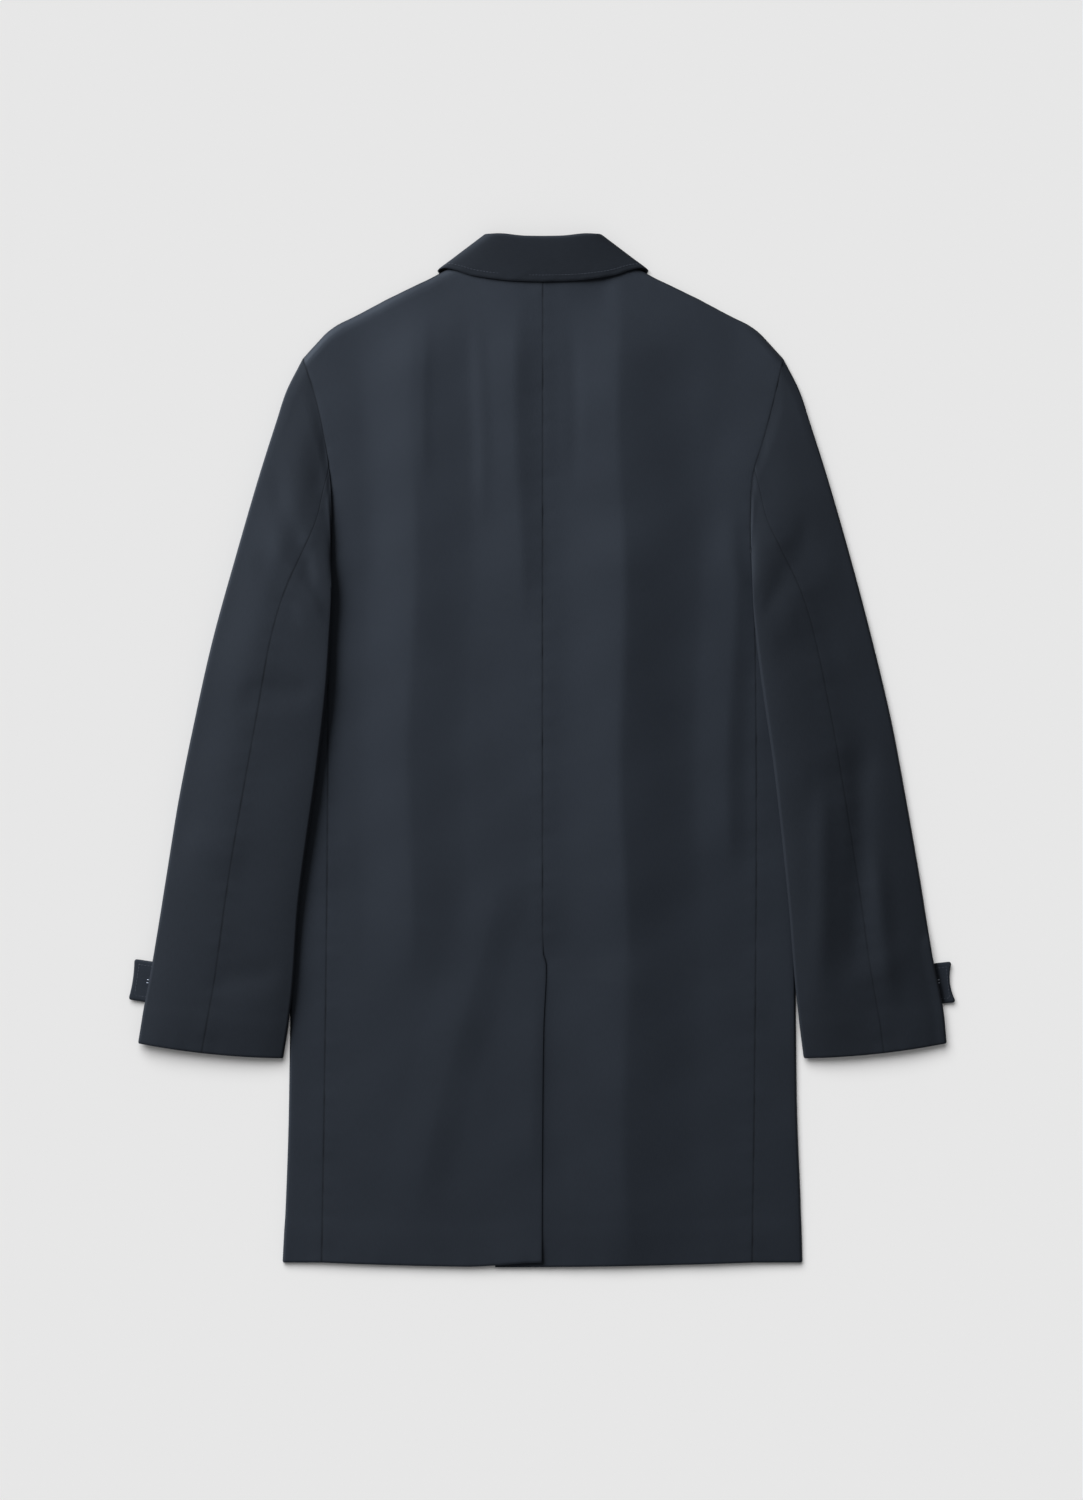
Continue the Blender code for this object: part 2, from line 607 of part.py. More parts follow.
def top_stops(share, column):
    """From the front seam underneath, round the outer fold, to the back seam on top."""
    half_gap = SEAM_GAP / 2 / ring_width(share)
    if column < SLEEVE_SHEET_COLUMNS:
        front = along(SLEEVE_RINGS, "front_seam", share) - half_gap
        return "under", front * (1.0 - column / SLEEVE_SHEET_COLUMNS)
    column -= SLEEVE_SHEET_COLUMNS
    if column <= SLEEVE_CAP_COLUMNS:
        return "outer", column / SLEEVE_CAP_COLUMNS
    back = along(SLEEVE_RINGS, "back_seam", share) - half_gap
    return "top", back * (column - SLEEVE_CAP_COLUMNS) / SLEEVE_SHEET_COLUMNS


def under_stops(share, column):
    """From the back seam on top, round the inner fold, to the front seam underneath."""
    half_gap = SEAM_GAP / 2 / ring_width(share)
    if column < SLEEVE_SHEET_COLUMNS:
        back = along(SLEEVE_RINGS, "back_seam", share) + half_gap
        return "top", mix(back, 1.0, column / SLEEVE_SHEET_COLUMNS)
    column -= SLEEVE_SHEET_COLUMNS
    if column <= SLEEVE_CAP_COLUMNS:
        return "inner", 1.0 - column / SLEEVE_CAP_COLUMNS
    front = along(SLEEVE_RINGS, "front_seam", share) + half_gap
    return "under", mix(1.0, front, (column - SLEEVE_CAP_COLUMNS) / SLEEVE_SHEET_COLUMNS)


# collar: a stand up from the neck seam, and a fall that bends over the roll line and lies outside it


def collar_line(step, line):
    """A point of a collar line, steps running from the left front round the back to the right front."""
    points = [LinePoint(row.step, *getattr(row, line)) for row in COLLAR]
    x, y, z = (along(points, axis, abs(step)) for axis in "xyz")
    return Vector((CENTRE_X + math.copysign(x, step), y, z))


def collar_frame(step):
    """Roll point, the way up the stand, the way out of the coat, and the roll's radius."""
    seam, roll = collar_line(step, "seam"), collar_line(step, "roll")
    up = (roll - seam).normalized()
    faces = math.radians(along(COLLAR, "faces", abs(step)))
    level = Vector((up.y, -up.x, 0.0)).normalized() * (1.0 if step >= 0 else -1.0)
    out = Vector((0.0, 0.0, math.cos(faces))) + level * math.sin(faces)
    out = (out - up * out.dot(up)).normalized()
    radius = mix(ROLL_RADIUS_BACK, ROLL_RADIUS_FRONT, ease(*ROLL_TIGHTENS, math.degrees(faces)))
    return roll, up, out, radius


def collar_step(row):
    """The step of a row, below zero on the left of the centre back."""
    middle = len(COLLAR_STEPS) - 1
    return math.copysign(COLLAR_STEPS[abs(row - middle)], row - middle)


def stand_place(column, row):
    step = collar_step(row)
    seam, roll = collar_line(step, "seam"), collar_line(step, "roll")
    long = (roll - seam).length
    return mix(seam, roll, column / STAND_COLUMNS * (1.0 - 2 * SEAM_GAP / long))


def fall_place(column, row):
    step = collar_step(row)
    roll, up, out, radius = collar_frame(step)
    if column <= FALL_BEND_COLUMNS:
        angle = math.pi * column / FALL_BEND_COLUMNS
        return roll + out * radius * (1.0 - math.cos(angle)) + up * radius * math.sin(angle)
    lay = (column - FALL_BEND_COLUMNS) / FALL_COLUMNS
    return mix(roll + out * 2 * radius, collar_line(step, "edge"), lay)


# cuff tabs with their buttons, under the outer fold of each sleeve


def tab_frame(side):
    """The middle of the tab's outer end, and the ways along it and across it, flat on the floor."""
    high_y, low_y = TAB_Y + TAB_WIDTH / 2, TAB_Y - TAB_WIDTH / 2
    high = Vector((along(OUTER_EDGE, side.name, high_y), high_y, 0.0))
    low = Vector((along(OUTER_EDGE, side.name, low_y), low_y, 0.0))
    across = (high - low).normalized()
    inward = Vector((across.y, -across.x, 0.0)) * -side.sign
    middle = (high + low) / 2 - inward * TAB_OUT
    return middle, inward, across


def plate(name, outline_points, low, high):
    """A flat plate raised from its outline."""
    shape = bmesh.new()
    face = shape.faces.new([shape.verts.new((point.x, point.y, low)) for point in outline_points])
    grown = bmesh.ops.extrude_face_region(shape, geom=[face])
    for item in grown["geom"]:
        if isinstance(item, bmesh.types.BMVert):
            item.co.z = high
    bmesh.ops.recalc_face_normals(shape, faces=shape.faces[:])
    return solid(name, shape)


def cuff_tab(side):
    middle, inward, across = tab_frame(side)
    half = TAB_WIDTH / 2
    centres = [
        (TAB_CORNER, half - TAB_CORNER, 90),
        (TAB_CORNER, TAB_CORNER - half, 180),
        (TAB_LENGTH - TAB_CORNER, TAB_CORNER - half, 270),
        (TAB_LENGTH - TAB_CORNER, half - TAB_CORNER, 360),
    ]
    points = []
    for along_tab, across_tab, first in centres:
        for turn in range(0, 91, 30):
            angle = math.radians(first + turn)
            reach = Vector((math.cos(angle), math.sin(angle))) * TAB_CORNER
            points.append(middle + inward * (along_tab + reach.x) + across * (across_tab + reach.y))
    return plate(f"cuff_tab_{side.name}", points, TAB_FLOOR, TAB_FLOOR + TAB_WALL)


def tab_button(side):
    middle, inward, _ = tab_frame(side)
    centre = middle + inward * (BUTTON_RADIUS + BUTTON_INSET)
    disc = bmesh.new()
    bmesh.ops.create_cone(
        disc,
        cap_ends=True,
        segments=BUTTON_SIDES,
        radius1=BUTTON_RADIUS - BUTTON_RIM,
        radius2=BUTTON_RADIUS,
        depth=BUTTON_THICK,
    )
    bmesh.ops.translate(disc, verts=disc.verts[:], vec=(centre.x, centre.y, BUTTON_THICK / 2))
    return solid(f"tab_button_{side.name}", disc, BUTTON_COLOUR, BUTTON_ROUGHNESS)


clear_scene()
coat = bpy.data.collections.new("long_coat")
bpy.context.scene.collection.children.link(coat)
for each in (LEFT, RIGHT):
    back_panel(each)
    front_panel(each)
    sleeve_piece(each, "top", top_stops)
    sleeve_piece(each, "under", under_stops)
    cuff_tab(each)
    tab_button(each)
collar_rows = 2 * (len(COLLAR_STEPS) - 1)
cloth("collar_stand", STAND_COLUMNS, collar_rows, stand_place, offset=0.0)
cloth("collar_fall", FALL_BEND_COLUMNS + FALL_COLUMNS, collar_rows, fall_place, offset=0.0)
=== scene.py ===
# Long car coat laid flat on its front, with the back up: the looks of its cloth, thread and buttons.
# Metres: X to the right, Y towards the neck, Z up from the surface that it lies on.
import math
from collections import namedtuple

import bmesh
import bpy
import numpy as np
from mathutils import Matrix, Quaternion, Vector


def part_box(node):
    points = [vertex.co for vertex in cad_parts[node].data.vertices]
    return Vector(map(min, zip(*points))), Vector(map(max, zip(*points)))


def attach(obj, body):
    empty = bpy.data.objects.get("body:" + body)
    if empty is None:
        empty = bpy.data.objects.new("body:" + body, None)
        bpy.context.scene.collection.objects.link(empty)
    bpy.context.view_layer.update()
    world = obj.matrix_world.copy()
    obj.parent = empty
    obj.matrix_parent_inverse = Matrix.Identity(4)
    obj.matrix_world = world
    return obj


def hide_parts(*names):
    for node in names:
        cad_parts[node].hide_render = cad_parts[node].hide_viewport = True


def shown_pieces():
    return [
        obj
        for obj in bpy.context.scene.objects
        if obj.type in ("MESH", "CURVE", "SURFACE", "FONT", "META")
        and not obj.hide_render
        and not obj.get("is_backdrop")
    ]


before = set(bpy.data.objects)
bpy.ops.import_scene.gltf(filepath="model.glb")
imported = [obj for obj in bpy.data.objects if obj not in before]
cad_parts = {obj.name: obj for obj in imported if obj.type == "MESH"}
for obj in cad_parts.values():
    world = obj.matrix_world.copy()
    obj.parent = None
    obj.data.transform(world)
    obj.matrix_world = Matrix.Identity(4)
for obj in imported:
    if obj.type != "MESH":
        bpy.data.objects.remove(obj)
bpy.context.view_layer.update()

# Back panels. Two lengths of dark navy cotton gabardine, seamed down the centre back and open below in
# a vent, where the left panel laps over the right one. They lie on the fronts in a few long soft folds;
# the hem is turned up inside and the seams are pressed.
WALL = 0.0013
BACK_WALL = 0.0007
SEAM_GAP = 0.0003
CENTRE_X = 0.0014
HEM_Y = -0.486
HEM_DROP = 0.0045
SHOULDER_TIP_Y = 0.3722
ARMHOLE_FOOT_Y = 0.185
SIDE_SEAM_TOP_Y = 0.130
NECK_POINT = 0.080
BACK_NECK_HALF = 0.045
BACK_MID_HEIGHT = 0.0074
SIDE_RADIUS = 0.0029
SHOULDER_ROUND = 0.009
VENT_TOP_Y = -0.196
VENT_UNDERLAP = 0.045
SEAM_LAP = 0.0004
VENT_CLEAR = 0.002
VENT_EASE = 0.034
VENT_STEP = 0.0009
VENT_SLANT = 0.025
VENT_SINK = 0.028
UNDERLAP_SINK = 0.0007
UNDERLAP_EASE = 0.008
FOLD_FADE = 0.070
FOLDS_END = 0.88
BACK_RISE = 0.0018
BACK_RISE_REACH = (0.76, 1.0)
CORNER_CURL = Vector((0.0, 0.0046, 0.0011))
CORNER_CURL_ACROSS = 0.075
CORNER_CURL_UP = 0.040
COLLAR_SPAN = Vector((0.120, 0.160))
COLLAR_CENTRE_Y = 0.460
COLLAR_EASE = 1.35
COLLAR_LIFT = 0.0023
BACK_WIDTH = 0.215
BACK_LENGTH = 0.900
CLOTH_STEP = 0.0042

Side = namedtuple("Side", "name sign")
LEFT = Side("left", -1)
RIGHT = Side("right", 1)

# the body's side folds, from the hem up to the underarm
EdgeRow = namedtuple("EdgeRow", "y left right")
BODY_EDGE = [
    EdgeRow(-0.486, -0.2456, 0.2475),
    EdgeRow(-0.427, -0.2427, 0.2460),
    EdgeRow(-0.341, -0.2399, 0.2427),
    EdgeRow(-0.150, -0.2375, 0.2405),
    EdgeRow(0.000, -0.2345, 0.2375),
    EdgeRow(0.130, -0.2310, 0.2340),
]

# the side-back seams, then the armholes up to the shoulder tips
BACK_EDGE = [
    EdgeRow(-0.486, -0.2085, 0.2000),
    EdgeRow(-0.300, -0.2055, 0.2025),
    EdgeRow(-0.100, -0.2032, 0.2040),
    EdgeRow(0.050, -0.2028, 0.2035),
    EdgeRow(0.130, -0.2030, 0.2020),
    EdgeRow(0.185, -0.2000, 0.1990),
    EdgeRow(0.225, -0.1992, 0.1985),
    EdgeRow(0.262, -0.2011, 0.2008),
    EdgeRow(0.300, -0.2068, 0.2120),
    EdgeRow(0.340, -0.2160, 0.2222),
    EdgeRow(0.3722, -0.2266, 0.2294),
]

# shoulder line and back neck: how far out, as a share of the shoulder tip, and how far up
TopRow = namedtuple("TopRow", "out y")
BACK_TOP = [
    TopRow(0.000, 0.4520),
    TopRow(0.120, 0.4525),
    TopRow(0.240, 0.4550),
    TopRow(0.352, 0.4600),
    TopRow(0.478, 0.4470),
    TopRow(0.652, 0.4280),
    TopRow(0.771, 0.4137),
    TopRow(0.886, 0.3995),
    TopRow(0.962, 0.3815),
    TopRow(1.000, 0.3722),
]

# where the left panel's edge runs along the centre: the seam, then the vent's edge
CentreRow = namedtuple("CentreRow", "y x")
VENT_EDGE = [
    CentreRow(-0.492, 0.0000),
    CentreRow(-0.350, 0.0007),
    CentreRow(-0.262, 0.0018),
    CentreRow(-0.203, 0.0042),
    CentreRow(-0.191, 0.0014),
    CentreRow(0.460, 0.0014),
]

# long folds and short creases: ridges and troughs from a high end to a low end, with the width of each
# flank; a sharp one is steepest at its crest, and each sways a little from side to side in its own turn
FoldRow = namedtuple("FoldRow", "x_high y_high x_low y_low left right height sharp")
BACK_FOLDS = [
    FoldRow(0.075, 0.440, 0.082, -0.500, 0.060, 0.072, 0.0046, 0.6),
    FoldRow(0.075, 0.240, 0.077, -0.190, 0.125, 0.076, 0.0036, 0.5),
    FoldRow(-0.119, 0.430, -0.126, -0.230, 0.050, 0.056, 0.0034, 0.5),
    FoldRow(-0.023, 0.440, -0.020, 0.110, 0.046, 0.026, 0.0023, 0.6),
    FoldRow(0.184, 0.250, 0.178, -0.130, 0.036, 0.020, 0.0018, 0.6),
    FoldRow(-0.035, -0.100, -0.125, -0.460, 0.040, 0.032, 0.0012, 0.4),
    FoldRow(-0.010, -0.200, -0.006, -0.420, 0.040, 0.020, 0.0011, 0.5),
    FoldRow(0.060, 0.500, 0.060, 0.395, 0.034, 0.020, -0.0018, 0.3),
    FoldRow(-0.113, 0.430, -0.108, 0.230, 0.010, 0.010, 0.0005, 0.3),
    FoldRow(-0.060, 0.430, -0.058, 0.200, 0.011, 0.011, 0.0005, 0.3),
    FoldRow(0.028, 0.430, 0.030, 0.240, 0.011, 0.011, -0.0004, 0.3),
]
SHARP_POWER = 1.5
FOLD_SWAY = 0.0030
FOLD_SWAY_LENGTH = 0.34
FOLD_SWAY_TURNS = 10.0


def ease(start, end, at):
    """0 before start, 1 after end, smooth between."""
    share = np.clip((at - start) / (end - start), 0.0, 1.0)
    return share * share * (3.0 - 2.0 * share)


def mix(first, second, share):
    return first + (second - first) * share


def along(rows, column, at):
    """A column's value at places along the table's first column, on a smooth curve through the rows."""
    keys = np.array([row[0] for row in rows])
    values = np.array([getattr(row, column) for row in rows])
    places = np.arange(len(rows))
    before, after = np.maximum(places - 1, 0), np.minimum(places + 1, len(rows) - 1)
    slopes = (values[after] - values[before]) / (keys[after] - keys[before])
    at = np.clip(at, keys[0], keys[-1])
    low = np.clip(np.searchsorted(keys, at, side="right") - 1, 0, len(rows) - 2)
    span = keys[low + 1] - keys[low]
    t = (at - keys[low]) / span
    return (
        (1 + 2 * t) * (1 - t) ** 2 * values[low]
        + t * (1 - t) ** 2 * slopes[low] * span
        + t * t * (3 - 2 * t) * values[low + 1]
        - t * t * (1 - t) * slopes[low + 1] * span
    )


def plan(x, y):
    """Points seen from above, from any mix of numbers and arrays."""
    return np.stack(np.broadcast_arrays(np.asarray(x, float), np.asarray(y, float)), axis=-1)


def patch(across, up, bottom, top, first, last):
    """The patch between four edges: bottom and top run across, first and last run up."""
    sideways_share, upwards_share = across[..., None], up[..., None]
    sideways = mix(first(up), last(up), sideways_share)
    upwards = mix(bottom(across), top(across), upwards_share)
    low = mix(bottom(0.0), bottom(1.0), sideways_share)
    high = mix(top(0.0), top(1.0), sideways_share)
    return sideways + upwards - mix(low, high, upwards_share)


def outline(side, y):
    """X of the body's side: the side fold, then in along the underarm to the armhole."""
    rise = ease(SIDE_SEAM_TOP_Y, ARMHOLE_FOOT_Y, y)
    return mix(along(BODY_EDGE, side.name, y), along(BACK_EDGE, side.name, y), rise)


def back_top(side, x):
    """Y of the shoulder line and back neck at an x."""
    tip = getattr(BACK_EDGE[-1], side.name)
    return along(BACK_TOP, "y", (x - CENTRE_X) / (tip - CENTRE_X))


def front_lift(x, y):
    """The fronts rise over the collar's fall, which lies under them at the neck."""
    reach = np.hypot((x - CENTRE_X) / COLLAR_SPAN.x, (y - COLLAR_CENTRE_Y) / COLLAR_SPAN.y)
    return COLLAR_LIFT * (1.0 - ease(1.0, COLLAR_EASE, reach))


def fold_height(fold, x, y):
    """One ridge or trough, fading at its ends."""
    down = np.clip((fold.y_high - y) / (fold.y_high - fold.y_low), 0.0, 1.0)
    sway = FOLD_SWAY * np.sin(math.tau * (y / FOLD_SWAY_LENGTH + FOLD_SWAY_TURNS * fold.x_low))
    off = x - mix(fold.x_high, fold.x_low, down) - sway
    up = np.clip(1.0 - np.where(off < 0.0, -off / fold.left, off / fold.right), 0.0, 1.0)
    ends = ease(0.0, FOLD_FADE, fold.y_high - y) * ease(0.0, FOLD_FADE, y - fold.y_low)
    return fold.height * ends * mix(ease(0.0, 1.0, up), up**SHARP_POWER, fold.sharp)


def back_height(side, x, y):
    """Top of the back: lowest at the sides, with the folds, and rounded down at the shoulders."""
    reach = np.minimum((x - CENTRE_X) / (outline(side, y) - CENTRE_X), 1.0)
    full = 2 * SIDE_RADIUS + (BACK_MID_HEIGHT - 2 * SIDE_RADIUS) * (1.0 - reach * reach)
    folds = sum(fold_height(fold, x, y) for fold in BACK_FOLDS)
    by_armhole = ease(SIDE_SEAM_TOP_Y, ARMHOLE_FOOT_Y, y) * ease(*BACK_RISE_REACH, reach)
    full = full + (1.0 - ease(FOLDS_END, 1.0, reach)) * folds + BACK_RISE * by_armhole
    below = np.clip((back_top(side, x) - y) / SHOULDER_ROUND, 0.0, 1.0)
    seat = front_lift(x, y) + 2 * WALL + SEAM_GAP
    rounded = mix(seat, full, 1.0 - (1.0 - below) ** 2)
    return mix(full, rounded, ease(BACK_NECK_HALF, NECK_POINT, np.abs(x - CENTRE_X)))


def hem_y(x):
    """The back's hem line dips a little towards the middle."""
    return HEM_Y - HEM_DROP * (1.0 - np.minimum(np.abs(x / BODY_EDGE[0].left), 1.0) ** 2)


# a turned edge is modelled finely; the rest of a sheet is a step apart
EDGE_STEPS = (0.0, 0.0004, 0.0009, 0.0015, 0.0024, 0.0038, 0.0060)


def shares(length, step=CLOTH_STEP, first=True, last=True):
    """Places from 0 to 1 along a length, close together at the edges that are turned or sewn."""
    edge = np.array(EDGE_STEPS)
    start = edge if first else edge[:1]
    end = edge if last else edge[:1]
    between = length - start[-1] - end[-1]
    middle = start[-1] + np.linspace(0.0, between, max(2, round(between / step) + 1))
    return np.concatenate([start[:-1], middle, length - end[-2::-1] if last else []]) / length


def back_points(side):
    across, up = np.meshgrid(shares(BACK_WIDTH), shares(BACK_LENGTH))

    def centre(up):
        y = mix(hem_y(0.0), BACK_TOP[0].y, up)
        if side is LEFT:
            return plan(along(VENT_EDGE, "x", y), y)
        underlap = 1.0 - ease(VENT_TOP_Y - VENT_SLANT, VENT_TOP_Y, y)
        return plan(CENTRE_X - SEAM_LAP - VENT_UNDERLAP * underlap, y)

    def outer(up):
        y = mix(HEM_Y, SHOULDER_TIP_Y, up)
        return plan(along(BACK_EDGE, side.name, y), y)

    def hem(across):
        x = mix(centre(0.0)[0], outer(0.0)[0], across)
        return plan(x, mix(centre(0.0)[1], HEM_Y, np.square(across)))

    def top(across):
        x = mix(centre(1.0)[0], outer(1.0)[0], across)
        return plan(x, back_top(side, x))

    flat = patch(across, up, hem, top, centre, outer)
    x, y = flat[..., 0], flat[..., 1]
    z = back_height(side, x, y)
    if side is RIGHT:
        sunk = 1.0 - ease(VENT_TOP_Y, VENT_TOP_Y + VENT_SINK, y)
        z = z - VENT_STEP * sunk * (1.0 - ease(VENT_CLEAR, VENT_CLEAR + VENT_EASE, x))
        z = z - UNDERLAP_SINK * sunk * ease(0.0, UNDERLAP_EASE, -x)
    points = np.dstack([x, y, z])
    if side is LEFT:
        curl = ease(-CORNER_CURL_ACROSS, 0.0, x) * (1.0 - ease(0.0, CORNER_CURL_UP, y - hem_y(0.0)))
        points = points + curl[..., None] * np.array(CORNER_CURL)
    return points


class Yarn:
    """An output of a node tree. Sums and products of yarns add Math nodes to the tree."""

    def __init__(self, tree, socket):
        self.tree = tree
        self.socket = socket

    def math(self, operation, *others):
        values = dict(enumerate((self, *others)))
        return self.tree.add("ShaderNodeMath", {"operation": operation}, values)

    def __add__(self, other):
        return self.math("ADD", other)

    def __sub__(self, other):
        return self.math("SUBTRACT", other)

    def __rsub__(self, other):
        return self * -1.0 + other

    def __mul__(self, other):
        return self.math("MULTIPLY", other)

    __radd__ = __add__
    __rmul__ = __mul__


class Loom:
    """Adds nodes to a tree: a node's settings first, then the values or links of its sockets."""

    def __init__(self, tree):
        self.tree = tree

    def add(self, kind, settings=None, sockets=None, output=0):
        made = self.tree.nodes.new(kind)
        for name, value in (settings or {}).items():
            setattr(made, name, value)
        for name, value in (sockets or {}).items():
            if isinstance(value, Yarn):
                self.tree.links.new(value.socket, made.inputs[name])
            else:
                made.inputs[name].default_value = value
        return Yarn(self, made.outputs[output] if made.outputs else None)


# the weave: a steep twill with uneven yarns; shade is painted on it along the seams' lines and, fainter,
# over the sleeves and the collar's fall, where it is rougher too
DEEP_NAVY = (0.0042, 0.0048, 0.0062, 1.0)
PALE_NAVY = (0.0210, 0.0255, 0.0342, 1.0)
SHINE_TINT = (0.76, 0.86, 1.0, 1.0)
TWILL_PITCH = 0.00055
TWILL_LEAN = 2.0
TWILL_DEPTH = 0.00006
SLUB_SIZE = Vector((1400.0, 160.0, 1.0))
SLUB_DETAIL = 2.0
MOTTLE_SIZE = 16.0
MOTTLE_DETAIL = 3.0
PLAIN_SHADE = 0.42
SLUB_SHADE = 0.30
TWILL_SHADE = 0.09
MOTTLE_SHADE = 0.18
PAINTED_SHADE_WEIGHT = 0.70
CLOTH_ROUGHNESS = 0.60
MOTTLE_ROUGHNESS = 0.08
PAINTED_SHADE_ROUGHNESS = 0.30
TWILL_SHARE = 0.6
WEAVE_BUMP = 0.5
CLOTH_SHINE = 0.22
CLOTH_SHEEN = 0.01
SHEEN_ROUGHNESS = 0.5


def bare_material(name):
    """A new material with no nodes, and the loom that fills it."""
    made = bpy.data.materials.new(name)
    made.use_nodes = True
    made.node_tree.nodes.clear()
    return made, Loom(made.node_tree)


def gabardine(name):
    made, loom = bare_material(name)
    grain = loom.add("ShaderNodeUVMap", {"uv_map": "grain"})
    weft = loom.add("ShaderNodeSeparateXYZ", None, {0: grain}, "X")
    warp = loom.add("ShaderNodeSeparateXYZ", None, {0: grain}, "Y")
    twill = ((weft * TWILL_LEAN + warp) * (math.tau / TWILL_PITCH)).math("SINE") * 0.5 + 0.5
    stretched = loom.add("ShaderNodeMapping", None, {"Vector": grain, "Scale": SLUB_SIZE})
    slub = loom.add("ShaderNodeTexNoise", None, {"Vector": stretched, "Scale": 1.0, "Detail": SLUB_DETAIL})
    place = loom.add("ShaderNodeTexCoord", None, None, "Object")
    mottle = loom.add(
        "ShaderNodeTexNoise",
        None,
        {"Vector": place, "Scale": MOTTLE_SIZE, "Detail": MOTTLE_DETAIL},
    )
    # painted shade: each point's share of it darkens the weave's colour and dulls its shine
    painted_shade = loom.add("ShaderNodeAttribute", {"attribute_name": "painted_shade"}, None, "Fac")
    shade = SLUB_SHADE * slub + TWILL_SHADE * twill + MOTTLE_SHADE * mottle
    shade = shade + PLAIN_SHADE - PAINTED_SHADE_WEIGHT * painted_shade
    colour = loom.add(
        "ShaderNodeMix",
        {"data_type": "RGBA"},
        {0: shade, 6: DEEP_NAVY, 7: PALE_NAVY},
        2,
    )
    roughness = MOTTLE_ROUGHNESS * mottle + CLOTH_ROUGHNESS + PAINTED_SHADE_ROUGHNESS * painted_shade
    height = twill * TWILL_SHARE + slub * (1.0 - TWILL_SHARE)
    bump = loom.add(
        "ShaderNodeBump",
        None,
        {"Strength": WEAVE_BUMP, "Distance": TWILL_DEPTH, "Height": height},
    )
    shader = loom.add(
        "ShaderNodeBsdfPrincipled",
        None,
        {
            "Base Color": colour,
            "Roughness": roughness,
            "Normal": bump,
            "Specular IOR Level": CLOTH_SHINE,
            "Specular Tint": SHINE_TINT,
            "Sheen Weight": CLOTH_SHEEN,
            "Sheen Roughness": SHEEN_ROUGHNESS,
        },
    )
    loom.add("ShaderNodeOutputMaterial", None, {"Surface": shader})
    return made


# how an edge is finished: a groove or roundness at the edge and how far in it reaches, a band of turned
# cloth behind it and how high that lies, puckers, and how dark the shade painted along the seam's uneven
# line is
Finish = namedtuple("Finish", "sink reach band rise pucker line")
SEAM = Finish(0.00010, 0.0008, 0.009, 0.00008, 0.00014, 0.62)
HEM = Finish(0.0005, 0.0010, 0.037, 0.00030, 0.00014, 0.0)
EDGE = Finish(0.0005, 0.0010, 0.012, 0.00010, 0.00008, 0.0)
BAND_SOFT = (0.8, 1.2)
PUCKER_REACH = 0.012
LINE_REACH = 0.0010
LINE_UNEVEN = 0.25

# waves as length, turn, phase and share: seams pucker unevenly, and laid cloth is never quite smooth
Wave = namedtuple("Wave", "length turn phase share")
PUCKERS = [
    Wave(0.0170, 0.0, 0.4, 0.50),
    Wave(0.0263, 0.0, 2.1, 0.35),
    Wave(0.0430, 0.0, 4.0, 0.55),
    Wave(0.1170, 0.0, 1.3, 0.60),
]
RIPPLES = [
    Wave(0.083, 0.3, 0.7, 0.40),
    Wave(0.121, 1.2, 2.9, 0.55),
    Wave(0.067, 2.2, 4.4, 0.30),
    Wave(0.163, 2.8, 1.1, 0.60),
]
RIPPLE_HEIGHT = 0.00030
SHARP_ANGLE = 50.0


def waves(rows, x, y):
    turned = [(row, x * math.cos(row.turn) + y * math.sin(row.turn)) for row in rows]
    return sum(row.share * np.sin(math.tau * at / row.length + row.phase) for row, at in turned)


def arcs(points):
    """How far each point lies along its row and up its column, in metres of cloth."""
    across = np.zeros(points.shape[:2])
    up = np.zeros(points.shape[:2])
    across[:, 1:] = np.cumsum(np.linalg.norm(np.diff(points, axis=1), axis=2), axis=1)
    up[1:] = np.cumsum(np.linalg.norm(np.diff(points, axis=0), axis=2), axis=0)
    return across, up


def outward(points, turned):
    facing = np.cross(np.gradient(points, axis=1), np.gradient(points, axis=0))
    facing /= np.linalg.norm(facing, axis=2, keepdims=True)
    return -facing if turned else facing


def sewn(points, turned, edges, lowest):
    """Finishes a sheet's edges and ripples it. Gives its points, and how much shade is painted along a
    seam's line at each.
    """
    across, up = arcs(points)
    away = {"first": across, "last": across[:, -1:] - across, "low": up, "high": up[-1:] - up}
    run = {"first": up, "last": up, "low": across, "high": across}
    move = np.zeros(points.shape[:2])
    line = np.zeros(points.shape[:2])
    for edge, finish in edges.items():
        distance = away[edge]
        move = move - finish.sink * np.exp(-((distance / finish.reach) ** 2))
        move = move + finish.rise * (1.0 - ease(*BAND_SOFT, distance / finish.band))
        uneven = waves(PUCKERS, run[edge], 0.0)
        move = move + finish.pucker * uneven * np.exp(-((distance / PUCKER_REACH) ** 2))
        # painted shade along the seam's line, uneven like its puckers
        painted_seam_shade = finish.line * (1.0 + LINE_UNEVEN * uneven)
        line = np.maximum(line, painted_seam_shade * np.exp(-((distance / LINE_REACH) ** 2)))
    finished = points + outward(points, turned) * move[..., None]
    finished[..., 2] += RIPPLE_HEIGHT * waves(RIPPLES, points[..., 0], points[..., 1])
    finished[..., 2] = np.maximum(finished[..., 2], lowest)
    return finished, line


def link(name, mesh, material):
    made = bpy.data.objects.new(name, mesh)
    bpy.context.scene.collection.objects.link(made)
    mesh.materials.clear()
    mesh.materials.append(material)
    return made


def settle(made):
    """Turns an object's modifiers into plain mesh, smooth but for its sharp edges."""
    graph = bpy.context.evaluated_depsgraph_get()
    mesh = bpy.data.meshes.new_from_object(made.evaluated_get(graph))
    made.modifiers.clear()
    made.data = mesh
    mesh.shade_smooth()
    mesh.set_sharp_from_angle(angle=math.radians(SHARP_ANGLE))
    return made


def above_floor(made):
    """The floor stops what a wall's thickness would push through it."""
    vertices = made.data.vertices
    places = np.empty(3 * len(vertices))
    vertices.foreach_get("co", places)
    places[2::3] = np.maximum(places[2::3], 0.0)
    vertices.foreach_set("co", places)
    made.data.update()
    return made


